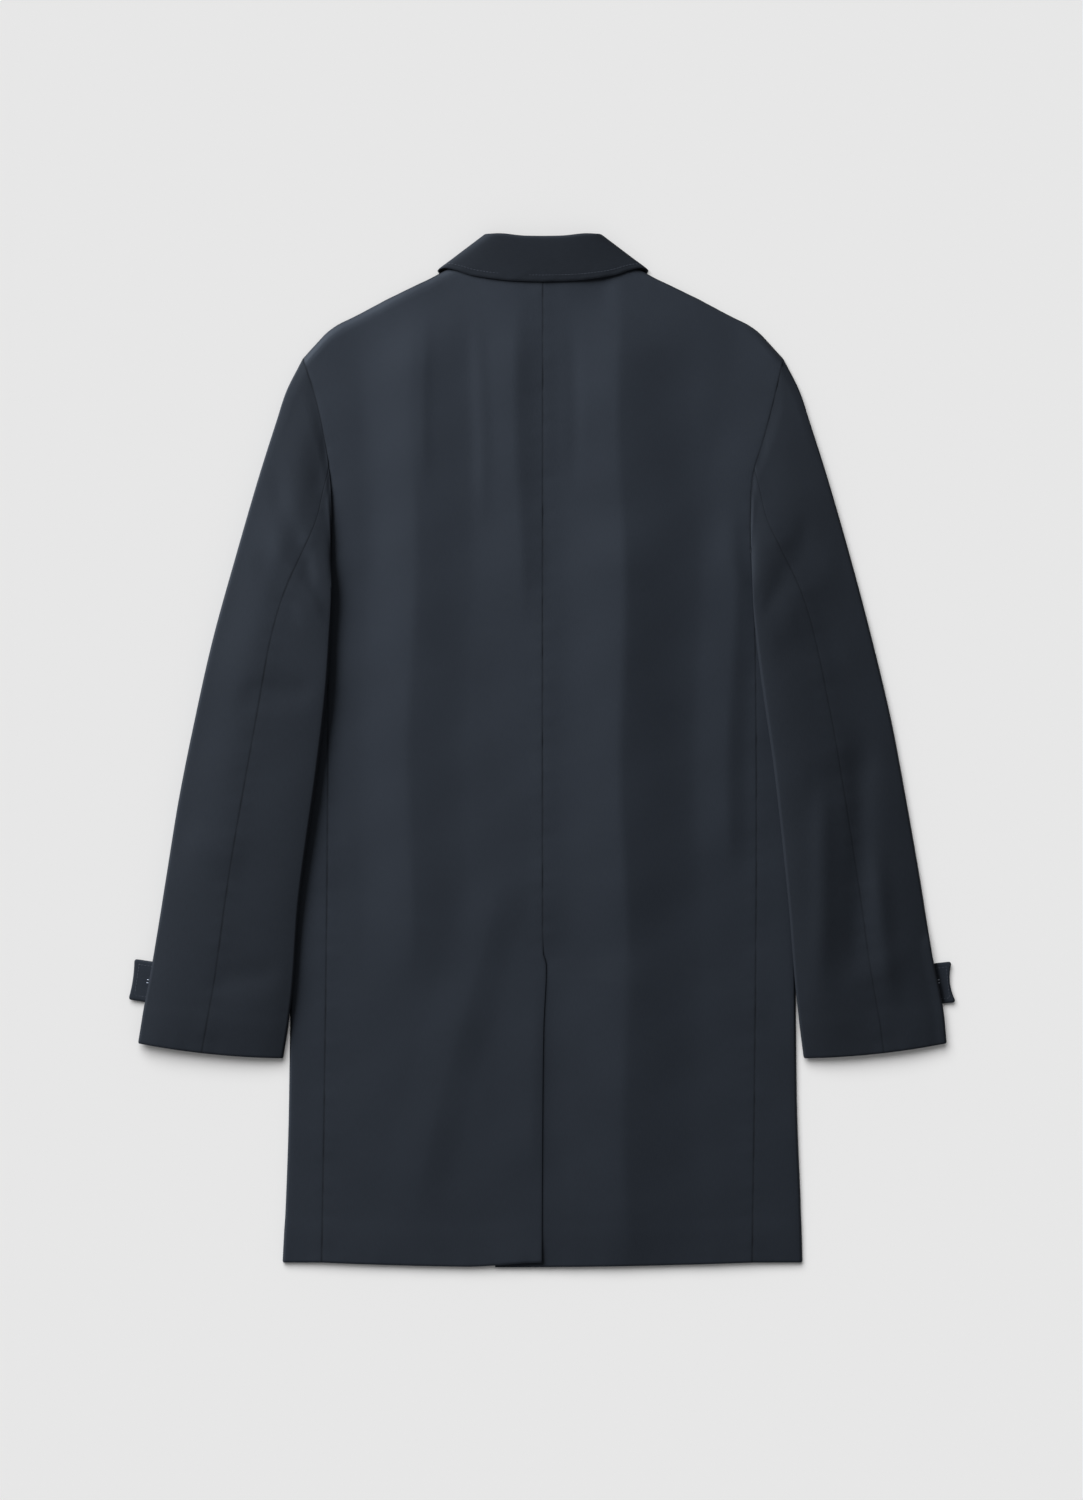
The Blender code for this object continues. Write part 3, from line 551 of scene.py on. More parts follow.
def shell(name, points, edges, turned=False, offset=-1.0, wall=WALL, painted_shade=0.0):
    """A sheet of cloth through a grid of points, with its edges finished, its wall's thickness, and
    painted shade: a share over the whole sheet, more along its seams.
    """
    points, line = sewn(points, turned, edges, wall * (1.0 + offset) / 2)
    rows, columns = points.shape[:2]
    index = np.arange(rows * columns).reshape(rows, columns)
    corners = [index[:-1, :-1], index[:-1, 1:], index[1:, 1:], index[1:, :-1]]
    if turned:
        corners.reverse()
    faces = np.stack(corners, axis=-1).reshape(-1, 4)
    mesh = bpy.data.meshes.new(name)
    mesh.from_pydata(points.reshape(-1, 3).tolist(), [], faces.tolist())
    grain = np.stack([arc.ravel() for arc in arcs(points)], axis=-1)
    mesh.uv_layers.new(name="grain").data.foreach_set("uv", grain[faces.ravel()].ravel())
    # painted shade: the sheet's own share, up to full along its seams' lines
    tone = mix(painted_shade, 1.0, line).ravel()
    mesh.attributes.new("painted_shade", "FLOAT", "POINT").data.foreach_set("value", tone)
    made = link(name, mesh, navy_cloth)
    thick = made.modifiers.new("Wall", "SOLIDIFY")
    thick.thickness = wall
    thick.offset = offset
    thick.use_even_offset = False
    return above_floor(settle(made))


navy_cloth = gabardine("navy_gabardine")
Cut = namedtuple("Cut", "width length area")


def lay(piece, node):
    """Puts a sheet in the coat, in place of the part that it stands for, which is hidden."""
    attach(piece, "root")
    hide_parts(node)


for side in (LEFT, RIGHT):
    # the centre is sewn down to the vent, and its edge is plain from there, without puckers or painted
    # seam shade
    back_sheet = back_points(side)
    sewn_share = ease(VENT_TOP_Y - VENT_SLANT, VENT_TOP_Y, back_sheet[:, :1, 1])
    centre_seam = SEAM._replace(pucker=SEAM.pucker * sewn_share, line=SEAM.line * sewn_share)
    back = shell(
        f"back_panel_{side.name}",
        back_sheet,
        {"first": centre_seam, "last": SEAM, "low": HEM, "high": SEAM},
        turned=side is LEFT,
        wall=BACK_WALL,
    )
    lay(back, f"back_{side.name}")

# Fronts. Each lies face down on the floor and wraps round the coat's side to the side-back seam. The
# left front closes over the right, so the right one climbs on it under the centre of the back.
FRONT_OVERLAP = 0.045
OVERLAP_CLEAR = 0.014
OVERLAP_EASE = 0.030
OVERLAP_STEP = 0.0023
NECK_SETBACK = 0.009
SETBACK_END = 0.125
CURL_SAG = 0.6
CURL_SPARE = 0.0015
CURL_OPENS_Y = 0.135
CURL_FLAT_Y = 0.180
TAIL_ENDS_Y = 0.115
ARMHOLE_OPEN_Y = 0.195
SHOULDER_LEAN_FROM = 0.80
SHOULDER_SETBACK = 0.0010
TIP_SETBACK = 0.0016
TIP_SETBACK_Y = (0.335, 0.372)
FRONT_WIDTH = 0.285
FRONT_STEP = 0.0065
CURL_STEPS = 12
CURL_SHARES = np.linspace(0.0, 1.0, CURL_STEPS + 1)[1:]
LEAST_TURN = 1e-6
TAIL_WIDTH = 0.040
FRONT_NECK = [
    TopRow(0.000, 0.3740),
    TopRow(0.030, 0.3820),
    TopRow(0.056, 0.4040),
    TopRow(0.075, 0.4340),
    TopRow(0.080, 0.4510),
]


def front_height(side, x, y):
    """Underside of a front; the right front climbs on the left one where they overlap."""
    height = front_lift(x, y)
    if side is LEFT:
        return height
    clear = CENTRE_X + FRONT_OVERLAP + OVERLAP_CLEAR
    return height + OVERLAP_STEP * (1.0 - ease(clear, clear + OVERLAP_EASE, x))


def front_points(side):
    curl = math.pi * SIDE_RADIUS
    closing_x = CENTRE_X - side.sign * FRONT_OVERLAP
    up = shares(BACK_LENGTH, FRONT_STEP)[:, None]
    row_y = mix(HEM_Y, SHOULDER_TIP_Y, up)

    def start(y):
        """X where the side starts to turn up."""
        folded = along(BODY_EDGE, side.name, y) - side.sign * SIDE_RADIUS
        armhole = along(BACK_EDGE, side.name, np.maximum(y, ARMHOLE_FOOT_Y))
        setback = TIP_SETBACK * ease(*TIP_SETBACK_Y, y)
        open_edge = armhole - side.sign * (curl + CURL_SPARE + setback)
        return mix(folded, open_edge, ease(SIDE_SEAM_TOP_Y, ARMHOLE_OPEN_Y, y))

    def top_y(x):
        out = np.abs(x - CENTRE_X)
        setback = SHOULDER_SETBACK + NECK_SETBACK * (1.0 - ease(NECK_POINT, SETBACK_END, out))
        return np.where(out < NECK_POINT, along(FRONT_NECK, "y", out), back_top(side, x) - setback)

    def closing(up):
        return plan(closing_x, mix(HEM_Y, top_y(closing_x), up))

    def outer(up):
        y = mix(HEM_Y, SHOULDER_TIP_Y, up)
        lean = (top_y(start(SHOULDER_TIP_Y)) - SHOULDER_TIP_Y) * ease(SHOULDER_LEAN_FROM, 1.0, up)
        return plan(start(y), y + lean)

    def hem(across):
        return plan(mix(closing_x, start(HEM_Y), across), HEM_Y)

    def top(across):
        x = mix(closing_x, start(SHOULDER_TIP_Y), across)
        return plan(x, top_y(x))

    across = shares(FRONT_WIDTH, FRONT_STEP, last=False)[None, :]
    flat = patch(*np.broadcast_arrays(across, up), hem, top, closing, outer)
    lying = np.dstack([flat, front_height(side, flat[..., 0], flat[..., 1])])

    # round the side, then on top up to the side-back seam; the turn opens flat at the armhole
    tail_shares = shares(TAIL_WIDTH, first=False)[1:]
    bent = np.concatenate([CURL_SHARES, np.ones(len(tail_shares))])[None, :]
    laid = np.concatenate([np.zeros(len(CURL_SHARES)), tail_shares])[None, :]
    on_top = np.abs(along(BODY_EDGE, side.name, row_y) - along(BACK_EDGE, side.name, row_y))
    tail = mix(on_top - SIDE_RADIUS, CURL_SPARE, ease(TAIL_ENDS_Y, CURL_OPENS_Y, row_y))
    turn = math.pi * (1.0 - ease(CURL_OPENS_Y, CURL_FLAT_Y, row_y))
    turn = np.maximum(turn, LEAST_TURN)
    straight = laid * tail
    out = curl / turn * np.sin(turn * bent) + straight * np.cos(turn)
    rise = curl / turn * (1.0 - np.cos(turn * bent)) + straight * np.sin(turn)
    rise = rise * (1.0 - CURL_SAG * np.sin(turn))
    base = outer(up)
    far = (curl * bent + straight) / (curl + tail)
    x = base[..., 0] + side.sign * out
    y = mix(base[..., 1], row_y, far)
    on_back = (row_y < SIDE_SEAM_TOP_Y) & (straight > 0.0)
    z = np.where(on_back, back_height(side, x, np.broadcast_to(row_y, x.shape)), rise)
    return np.concatenate([lying, np.dstack([x, y, z])], axis=1)


for side in (LEFT, RIGHT):
    front = shell(
        f"front_panel_{side.name}",
        front_points(side),
        {"first": EDGE, "last": SEAM, "low": HEM, "high": SEAM},
        turned=side is RIGHT,
    )
    lay(front, f"front_{side.name}")

# Sleeves. Two-piece sleeves set into the armholes and laid down over the body's sides: the top piece
# goes round the outer fold to the back seam, and the under piece round the inner fold. The cuffs are
# turned up inside.
LAY_GAP = 0.0005
SLEEVE_RADIUS = 0.0028
SLEEVE_RAMP = 0.018
FOOT_CLEAR = 0.002
UNDERARM_CLEAR = 0.003
UNDERARM_RING = (0.50, 0.88)
UNDERARM_SHARES = (0.0, 0.30)
CUFF_BOW = 0.0030
CUFF_BOW_SHARES = (0.60, 1.0)
SWAY_SHARES = (0.0, 0.30)
JOIN_SHARES = (0.0, 0.16)
ARMHOLE_RISE = 0.0036
ARMHOLE_RISE_RING = (0.45, 0.90)
CAP_ROLL = {LEFT: 0.0016, RIGHT: 0.0011}
CAP_ROLL_SHARES = (0.0, 0.026)
CAP_ROLL_RING = (0.02, 0.30)
TAB_WALL = 0.0018
BUTTON_THICK = 0.0022
TAB_FLOOR = BUTTON_THICK + 2 * SEAM_GAP
TAB_LIFT = TAB_FLOOR + TAB_WALL + 3 * SEAM_GAP
TAB_LIFT_SHARES = (0.76, 0.83)
TAB_LIFT_RING = (0.60, 0.84)
OUTER_ROLL = {LEFT: 0.0058, RIGHT: 0.0020}
INNER_ROLL = {LEFT: 0.0032, RIGHT: 0.0026}
INNER_ROLL_FADE = (0.50, 0.90)
SLEEVE_RISE_RING = {LEFT: (0.0, 0.40), RIGHT: (0.0, 1.0)}
# painted shade: the sleeves are painted a shade darker than the body
SLEEVE_PAINTED_SHADE = 0.33
# less painted seam shade along the right sleeve's seams
SLEEVE_SEAM = {LEFT: SEAM, RIGHT: SEAM._replace(line=0.36)}
SLEEVE_LENGTH = 0.660
SLEEVE_HALF = 0.075
SLEEVE_CUTS = {"top": Cut(0.200, 0.680, 0.077), "under": Cut(0.150, 0.570, 0.065)}

# the outer and inner folds, then rings down the sleeve with the seams as shares of the ring
OUTER_EDGE = [
    EdgeRow(-0.2769, -0.3824, 0.3843),
    EdgeRow(-0.2418, -0.3767, 0.3805),
    EdgeRow(-0.1943, -0.3681, 0.3710),
    EdgeRow(-0.1230, -0.3567, 0.3596),
    EdgeRow(-0.0470, -0.3444, 0.3463),
    EdgeRow(0.0290, -0.3292, 0.3320),
    EdgeRow(0.1050, -0.3121, 0.3140),
    EdgeRow(0.1810, -0.2912, 0.2940),
    EdgeRow(0.2570, -0.2693, 0.2722),
    EdgeRow(0.3140, -0.2513, 0.2541),
    EdgeRow(0.3425, -0.2418, 0.2446),
    EdgeRow(0.3722, -0.2266, 0.2294),
]
INNER_EDGE = [
    EdgeRow(-0.294, -0.2456, 0.2494),
    EdgeRow(-0.229, -0.2361, 0.2413),
    EdgeRow(-0.142, -0.2294, 0.2340),
    EdgeRow(-0.0185, -0.2123, 0.2206),
    EdgeRow(0.055, -0.2035, 0.2100),
    EdgeRow(0.110, -0.2000, 0.2030),
    EdgeRow(0.150, -0.1985, 0.1995),
    EdgeRow(0.185, -0.2000, 0.1990),
]
RingRow = namedtuple("RingRow", "share outer_y inner_y back_seam front_seam swell")
SLEEVE_RINGS = [
    RingRow(0.00, 0.3722, 0.185, 0.560, 0.72, 0.0004),
    RingRow(0.08, 0.3150, 0.163, 0.600, 0.62, 0.0010),
    RingRow(0.16, 0.2520, 0.140, 0.560, 0.54, 0.0013),
    RingRow(0.24, 0.1880, 0.113, 0.500, 0.50, 0.0014),
    RingRow(0.32, 0.1250, 0.083, 0.475, 0.48, 0.0014),
    RingRow(0.40, 0.0620, 0.045, 0.475, 0.48, 0.0014),
    RingRow(0.50, -0.0060, -0.018, 0.472, 0.48, 0.0016),
    RingRow(0.75, -0.1420, -0.156, 0.457, 0.48, 0.0024),
    RingRow(1.00, -0.2778, -0.292, 0.437, 0.48, 0.0030),
]

# soft creases across the sleeve's top, where the arm bends and the cap is eased in
SleeveCrease = namedtuple("SleeveCrease", "side share lean ring_from ring_to half_width height")
SLEEVE_CREASES = [
    SleeveCrease(LEFT, 0.160, 0.050, 0.05, 0.80, 0.022, -0.0012),
    SleeveCrease(LEFT, 0.205, 0.030, 0.20, 0.95, 0.016, 0.0009),
    SleeveCrease(LEFT, 0.250, 0.060, 0.10, 0.75, 0.020, -0.0008),
    SleeveCrease(LEFT, 0.370, 0.000, -0.20, 1.20, 0.090, 0.0015),
    SleeveCrease(LEFT, 0.400, -0.040, 0.25, 0.95, 0.024, -0.0010),
    SleeveCrease(LEFT, 0.660, 0.050, 0.05, 0.60, 0.035, 0.0008),
    SleeveCrease(LEFT, 0.870, -0.050, 0.35, 0.95, 0.025, -0.0009),
    SleeveCrease(RIGHT, 0.190, 0.060, 0.20, 0.95, 0.026, -0.0007),
    SleeveCrease(RIGHT, 0.250, 0.040, 0.05, 0.80, 0.028, 0.0006),
    SleeveCrease(RIGHT, 0.330, -0.050, 0.20, 0.90, 0.028, -0.0006),
    SleeveCrease(RIGHT, 0.520, 0.060, 0.10, 0.80, 0.035, -0.0010),
    SleeveCrease(RIGHT, 0.860, 0.060, 0.10, 0.70, 0.030, 0.0008),
]
CREASE_ENDS = 0.18

# long folds down the sleeve from a high end to a low end, each end a place on the ring and a share down
SleeveFold = namedtuple("SleeveFold", "side ring_high share_high ring_low share_low half_width height")
SLEEVE_FOLDS = [
    SleeveFold(RIGHT, 0.25, 0.40, 0.62, 0.94, 0.11, -0.0022),
    SleeveFold(RIGHT, 0.60, 0.46, 0.86, 0.94, 0.08, 0.0016),
    SleeveFold(RIGHT, 0.30, 0.62, 0.36, 0.96, 0.07, 0.0014),
]
SLEEVE_FOLD_ENDS = 0.35


def sleeve_floor(side, x, y, share, ring):
    """Underside of a sleeve: the floor, up over the body's side, and up over the cuff's tab."""
    out = np.maximum(side.sign * (x - outline(side, y)), y - ARMHOLE_FOOT_Y - FOOT_CLEAR)
    over_body = 1.0 - ease(0.0, SLEEVE_RAMP, out)
    over_tab = ease(*TAB_LIFT_SHARES, share) * (1.0 - ease(*TAB_LIFT_RING, ring))
    body = (back_height(side, x, np.minimum(y, ARMHOLE_FOOT_Y)) + LAY_GAP) * over_body
    return np.maximum(body, TAB_LIFT * over_tab)


def sleeve_plan(side, share, ring):
    """A sleeve's points from above: ring is 0 at the outer fold and 1 at the inner fold."""
    outer_y = along(SLEEVE_RINGS, "outer_y", share)
    inner_y = along(SLEEVE_RINGS, "inner_y", share)
    outer_x = along(OUTER_EDGE, side.name, outer_y)
    inner_x = along(INNER_EDGE, side.name, inner_y)
    seam_y = mix(SHOULDER_TIP_Y, ARMHOLE_FOOT_Y, ring)
    tip_x = along(OUTER_EDGE, side.name, SHOULDER_TIP_Y)
    foot_x = along(INNER_EDGE, side.name, ARMHOLE_FOOT_Y)
    off_line = along(BACK_EDGE, side.name, seam_y) - mix(tip_x, foot_x, ring)
    sway = off_line * (1.0 - ease(*SWAY_SHARES, share))
    bow = CUFF_BOW * 4 * ring * (1.0 - ring) * ease(*CUFF_BOW_SHARES, share)
    return mix(outer_x, inner_x, ring) + sway, mix(outer_y, inner_y, ring) - bow


def sleeve_creases(side, share, ring):
    """Height of the creases and long folds at a place on the sleeve's top."""
    height = 0.0
    for crease in SLEEVE_CREASES:
        if crease.side is side:
            line = crease.share + crease.lean * (ring - 0.5)
            ends = ease(crease.ring_from, crease.ring_from + CREASE_ENDS, ring)
            ends = ends * (1.0 - ease(crease.ring_to - CREASE_ENDS, crease.ring_to, ring))
            height = height + crease.height * ends * np.exp(-(((share - line) / crease.half_width) ** 2))
    for fold in SLEEVE_FOLDS:
        if fold.side is side:
            down = np.clip((share - fold.share_high) / (fold.share_low - fold.share_high), 0.0, 1.0)
            line = mix(fold.ring_high, fold.ring_low, down)
            ends = ease(0.0, SLEEVE_FOLD_ENDS, down) * ease(0.0, SLEEVE_FOLD_ENDS, 1.0 - down)
            height = height + fold.height * ends * np.exp(-(((ring - line) / fold.half_width) ** 2))
    return height


def sleeve_top(side, share, ring, cap):
    """Top of a sleeve over the floor; at the armhole it meets the back, and rolls up over the seam."""
    inner_place = sleeve_plan(side, share, 1.0 - cap)
    outer = 2 * SLEEVE_RADIUS + OUTER_ROLL[side]
    inner = sleeve_floor(side, *inner_place, share, 1.0 - cap) + 2 * SLEEVE_RADIUS
    inner = inner + INNER_ROLL[side] * (1.0 - ease(*INNER_ROLL_FADE, share))
    inside = (ring - cap) / (1.0 - 2 * cap)
    crown = along(SLEEVE_RINGS, "swell", share) * (1.0 - (2 * inside - 1.0) ** 4)
    rise = ease(*SLEEVE_RISE_RING[side], inside)
    own = mix(outer, inner, rise) + crown + sleeve_creases(side, share, ring)
    x, y = sleeve_plan(side, share, ring)
    least = sleeve_floor(side, x, y, share, ring) + 2 * WALL + LAY_GAP
    seam_x, seam_y = sleeve_plan(side, 0.0, ring)
    seat = back_height(side, seam_x - side.sign * SEAM_GAP, seam_y)
    seat = seat + ARMHOLE_RISE * ease(*ARMHOLE_RISE_RING, ring)
    seat = seat + CAP_ROLL[side] * ease(*CAP_ROLL_SHARES, share) * ease(*CAP_ROLL_RING, ring)
    return np.maximum(mix(seat, own, ease(*JOIN_SHARES, share)), least)


def sleeve_strip(side, share, part, amount):
    """A strip of a sleeve: on its top, on its underside, or round one of its folds."""
    share, amount = np.broadcast_arrays(share, amount)
    start = plan(*sleeve_plan(side, share, 0.0))
    end = plan(*sleeve_plan(side, share, 1.0))
    cap = SLEEVE_RADIUS / np.linalg.norm(end - start, axis=-1)
    clear = side.sign * UNDERARM_CLEAR * (1.0 - ease(*UNDERARM_SHARES, share))
    if part in ("top", "under"):
        ring = mix(cap, 1.0 - cap, amount)
        x, y = sleeve_plan(side, share, ring)
        if part == "top":
            return np.dstack([x, y, sleeve_top(side, share, ring, cap)])
        away = clear * ease(*UNDERARM_RING, ring)
        return np.dstack([x + away, y, sleeve_floor(side, x, y, share, ring)])
    ring = cap if part == "outer" else 1.0 - cap
    x, y = sleeve_plan(side, share, ring)
    fold = start if part == "outer" else end
    away = fold - plan(x, y)
    away = away / np.linalg.norm(away, axis=-1, keepdims=True)
    angle = math.pi * (amount - 0.5)
    low = sleeve_floor(side, x, y, share, ring)
    high = sleeve_top(side, share, ring, cap)
    out = SLEEVE_RADIUS * np.cos(angle)
    x = x + away[..., 0] * out
    y = y + away[..., 1] * out
    if part == "inner":
        x = x + clear * (1.0 - amount)
    return np.dstack([x, y, mix(low, high, (1.0 + np.sin(angle)) / 2)])


def sleeve_points(side, piece):
    share = 1.0 - shares(SLEEVE_LENGTH)[:, None]
    front = along(SLEEVE_RINGS, "front_seam", share)
    back = along(SLEEVE_RINGS, "back_seam", share)
    sewn_first = shares(SLEEVE_HALF, last=False)[None, :]
    sewn_last = shares(SLEEVE_HALF, first=False)[None, 1:]
    round_fold = CURL_SHARES[None, :]
    if piece == "top":
        strips = [
            sleeve_strip(side, share, "under", front * (1.0 - sewn_first)),
            sleeve_strip(side, share, "outer", round_fold),
            sleeve_strip(side, share, "top", back * sewn_last),
        ]
    else:
        strips = [
            sleeve_strip(side, share, "top", mix(back, 1.0, sewn_first)),
            sleeve_strip(side, share, "inner", 1.0 - round_fold),
            sleeve_strip(side, share, "under", mix(1.0, front, sewn_last)),
        ]
    return np.concatenate(strips, axis=1)


for side in (LEFT, RIGHT):
    for piece, cut in SLEEVE_CUTS.items():
        sleeve = shell(
            f"sleeve_{piece}_{side.name}",
            sleeve_points(side, piece),
            {"first": SLEEVE_SEAM[side], "last": SLEEVE_SEAM[side], "low": HEM, "high": SEAM},
            turned=side is RIGHT,
            painted_shade=SLEEVE_PAINTED_SHADE,
        )
        lay(sleeve, f"sleeve_{side.name}_{piece}")

# Collar. A stand sewn to the neck and a fall that bends over the roll line and lies on the back, round
# the neck to two points on the fronts. The fall is edge-stitched with a navy thread.
ROLL_RADIUS_BACK = 0.0020
ROLL_RADIUS_FRONT = 0.0012
ROLL_TIGHTENS = (60.0, 150.0)
COLLAR_ROWS = 241
COLLAR_TURN_STEPS = 10
STAND_WIDTH = 0.032
FALL_WIDTH = 0.042
COLLAR_STEP = 0.0028
# painted shade: the collar's fall is painted darker than the back
COLLAR_PAINTED_SHADE = 0.48

# from the centre back round to the centre front: neck seam, roll line and outer edge, with the way the
# collar faces (0 up at the back, 90 out at the side fold, 180 down at the front)
CollarRow = namedtuple("CollarRow", "step faces seam roll edge")
LinePoint = namedtuple("LinePoint", "step x y z")
COLLAR = [
    CollarRow(0.0, 0, (0.0000, 0.4528, 0.0066), (0.0000, 0.4855, 0.0108), (0.0000, 0.4450, 0.0092)),
    CollarRow(1.0, 0, (0.0280, 0.4534, 0.0064), (0.0200, 0.4860, 0.0108), (0.0340, 0.4463, 0.0092)),
    CollarRow(2.0, 0, (0.0540, 0.4562, 0.0058), (0.0370, 0.4880, 0.0106), (0.0660, 0.4508, 0.0090)),
    CollarRow(3.0, 0, (0.0715, 0.4605, 0.0056), (0.0470, 0.4884, 0.0100), (0.0850, 0.4566, 0.0084)),
    CollarRow(3.5, 45, (0.0785, 0.4625, 0.0056), (0.0520, 0.4868, 0.0086), (0.0945, 0.4580, 0.0070)),
    CollarRow(4.0, 90, (0.0800, 0.4628, 0.0050), (0.0540, 0.4850, 0.0066), (0.0998, 0.4556, 0.0040)),
    CollarRow(4.5, 135, (0.0785, 0.4622, 0.0036), (0.0528, 0.4844, 0.0050), (0.0984, 0.4525, 0.0011)),
    CollarRow(4.75, 165, (0.0758, 0.4545, 0.0025), (0.0490, 0.4800, 0.0038), (0.0955, 0.4430, 0.0009)),
    CollarRow(5.0, 180, (0.0715, 0.4430, 0.0026), (0.0465, 0.4700, 0.0032), (0.0930, 0.4300, 0.0008)),
    CollarRow(6.0, 180, (0.0560, 0.4100, 0.0026), (0.0330, 0.4330, 0.0032), (0.0780, 0.3850, 0.0008)),
    CollarRow(7.0, 180, (0.0300, 0.3865, 0.0026), (0.0160, 0.4100, 0.0032), (0.0600, 0.3520, 0.0008)),
    CollarRow(8.0, 180, (0.0020, 0.3785, 0.0026), (0.0020, 0.4030, 0.0032), (0.0450, 0.3350, 0.0008)),
]
COLLAR_END = COLLAR[-1].step


def unit(vectors):
    return vectors / np.linalg.norm(vectors, axis=-1, keepdims=True)


def collar_line(steps, line):
    """A collar line's points, steps running from the left front round the back to the right front."""
    rows = [LinePoint(row.step, *getattr(row, line)) for row in COLLAR]
    x, y, z = (along(rows, axis, np.abs(steps)) for axis in "xyz")
    return np.stack([CENTRE_X + np.copysign(x, steps), y, z], axis=-1)


def stand_points(steps):
    seam, roll = collar_line(steps, "seam"), collar_line(steps, "roll")
    tall = np.linalg.norm(roll - seam, axis=-1, keepdims=True)
    lift = shares(STAND_WIDTH, COLLAR_STEP, last=False)[None, :, None]
    return mix(seam[:, None], roll[:, None], lift * (1.0 - 2 * SEAM_GAP / tall)[:, None])


def fall_points(steps):
    seam, roll = collar_line(steps, "seam"), collar_line(steps, "roll")
    edge = collar_line(steps, "edge")[:, None]
    up = unit(roll - seam)
    faces = np.radians(along(COLLAR, "faces", np.abs(steps)))[:, None]
    hand = np.where(steps >= 0, 1.0, -1.0)
    level = unit(np.stack([up[:, 1], -up[:, 0], np.zeros(len(steps))], axis=-1)) * hand[:, None]
    out = np.array([0.0, 0.0, 1.0]) * np.cos(faces) + level * np.sin(faces)
    out = unit(out - up * np.sum(out * up, axis=-1, keepdims=True))
    radius = mix(ROLL_RADIUS_BACK, ROLL_RADIUS_FRONT, ease(*ROLL_TIGHTENS, np.degrees(faces)))[:, None]
    roll, up, out = roll[:, None], up[:, None], out[:, None]
    angle = np.linspace(0.0, math.pi, COLLAR_TURN_STEPS + 1)[None, :, None]
    bend = roll + out * radius * (1.0 - np.cos(angle)) + up * radius * np.sin(angle)
    lay_shares = shares(FALL_WIDTH, COLLAR_STEP, first=False)[None, 1:, None]
    return np.concatenate([bend, mix(roll + out * 2 * radius, edge, lay_shares)], axis=1)


# a row of lockstitch: one small stitch on each step of a path
THREAD_COLOUR = (0.030, 0.036, 0.050, 1.0)
THREAD_ROUGHNESS = 0.55
STITCH_PITCH = 0.0031
STITCH_LENGTH = 0.0025
THREAD_THICKNESS = 0.00050
STITCH_INSET = 0.0060
STITCH_SUNK = 0.00005
STITCH_SEGMENTS = 8
STITCH_RINGS = 5
FIBRE_SIZE = 2500.0
FIBRE_DETAIL = 1.0
FIBRE_PALER = 1.6
FIBRE_BUMP = 0.4
FIBRE_DEPTH = 0.0001


def thread_material(name, colour):
    made, loom = bare_material(name)
    place = loom.add("ShaderNodeTexCoord", None, None, "Object")
    fibre = loom.add(
        "ShaderNodeTexNoise",
        None,
        {"Vector": place, "Scale": FIBRE_SIZE, "Detail": FIBRE_DETAIL},
    )
    pale = tuple(min(1.0, FIBRE_PALER * value) for value in colour)
    tone = loom.add("ShaderNodeMix", {"data_type": "RGBA"}, {0: fibre, 6: colour, 7: pale}, 2)
    bump = loom.add(
        "ShaderNodeBump",
        None,
        {"Strength": FIBRE_BUMP, "Distance": FIBRE_DEPTH, "Height": fibre},
    )
    shader = loom.add(
        "ShaderNodeBsdfPrincipled",
        None,
        {"Base Color": tone, "Roughness": THREAD_ROUGHNESS, "Normal": bump},
    )
    loom.add("ShaderNodeOutputMaterial", None, {"Surface": shader})
    return made


def stitch_tree():
    tree = bpy.data.node_groups.new("stitch_row", "GeometryNodeTree")
    sockets = {
        "Path": "NodeSocketGeometry",
        "Pitch": "NodeSocketFloat",
        "Stitch Length": "NodeSocketFloat",
        "Thread Thickness": "NodeSocketFloat",
        "Thread": "NodeSocketMaterial",
    }
    for name, kind in sockets.items():
        tree.interface.new_socket(name, in_out="INPUT", socket_type=kind)
    tree.interface.new_socket("Stitches", in_out="OUTPUT", socket_type="NodeSocketGeometry")
    loom = Loom(tree)
    path, pitch, length, thickness, thread = (
        loom.add("NodeGroupInput", None, None, name) for name in sockets
    )
    curve = loom.add("GeometryNodeMeshToCurve", None, {"Mesh": path})
    places = loom.add("GeometryNodeResampleCurve", {"mode": "LENGTH"}, {"Curve": curve, "Length": pitch})
    ball = loom.add(
        "GeometryNodeMeshUVSphere",
        None,
        {"Segments": STITCH_SEGMENTS, "Rings": STITCH_RINGS, "Radius": 0.5},
    )
    size = loom.add("ShaderNodeCombineXYZ", None, {"X": length, "Y": thickness, "Z": thickness})
    stitch = loom.add("GeometryNodeTransform", None, {"Geometry": ball, "Scale": size})
    tangent = loom.add("GeometryNodeInputTangent")
    turn = loom.add("FunctionNodeAlignRotationToVector", {"axis": "X"}, {"Vector": tangent})
    row = loom.add(
        "GeometryNodeInstanceOnPoints",
        None,
        {"Points": places, "Instance": stitch, "Rotation": turn},
    )
    real = loom.add("GeometryNodeRealizeInstances", None, {"Geometry": row})
    done = loom.add("GeometryNodeSetMaterial", None, {"Geometry": real, "Material": thread})
    loom.add("NodeGroupOutput", None, {"Stitches": done})
    return tree


stitch_row = stitch_tree()
navy_thread = thread_material("navy_thread", THREAD_COLOUR)


def stitched(name, path, closed=False):
    """A row of stitches along a path of points."""
    mesh = bpy.data.meshes.new(name)
    edges = [(i, i + 1) for i in range(len(path) - 1)]
    if closed:
        edges.append((len(path) - 1, 0))
    mesh.from_pydata(np.asarray(path).tolist(), edges, [])
    made = link(name, mesh, navy_thread)
    row = made.modifiers.new("Stitches", "NODES")
    row.node_group = stitch_row
    settings = {
        "Pitch": STITCH_PITCH,
        "Stitch Length": STITCH_LENGTH,
        "Thread Thickness": THREAD_THICKNESS,
        "Thread": navy_thread,
    }
    for item in stitch_row.interface.items_tree:
        if item.name in settings:
            row[item.identifier] = settings[item.name]
    settle(made)
    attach(made, "root")
    return made


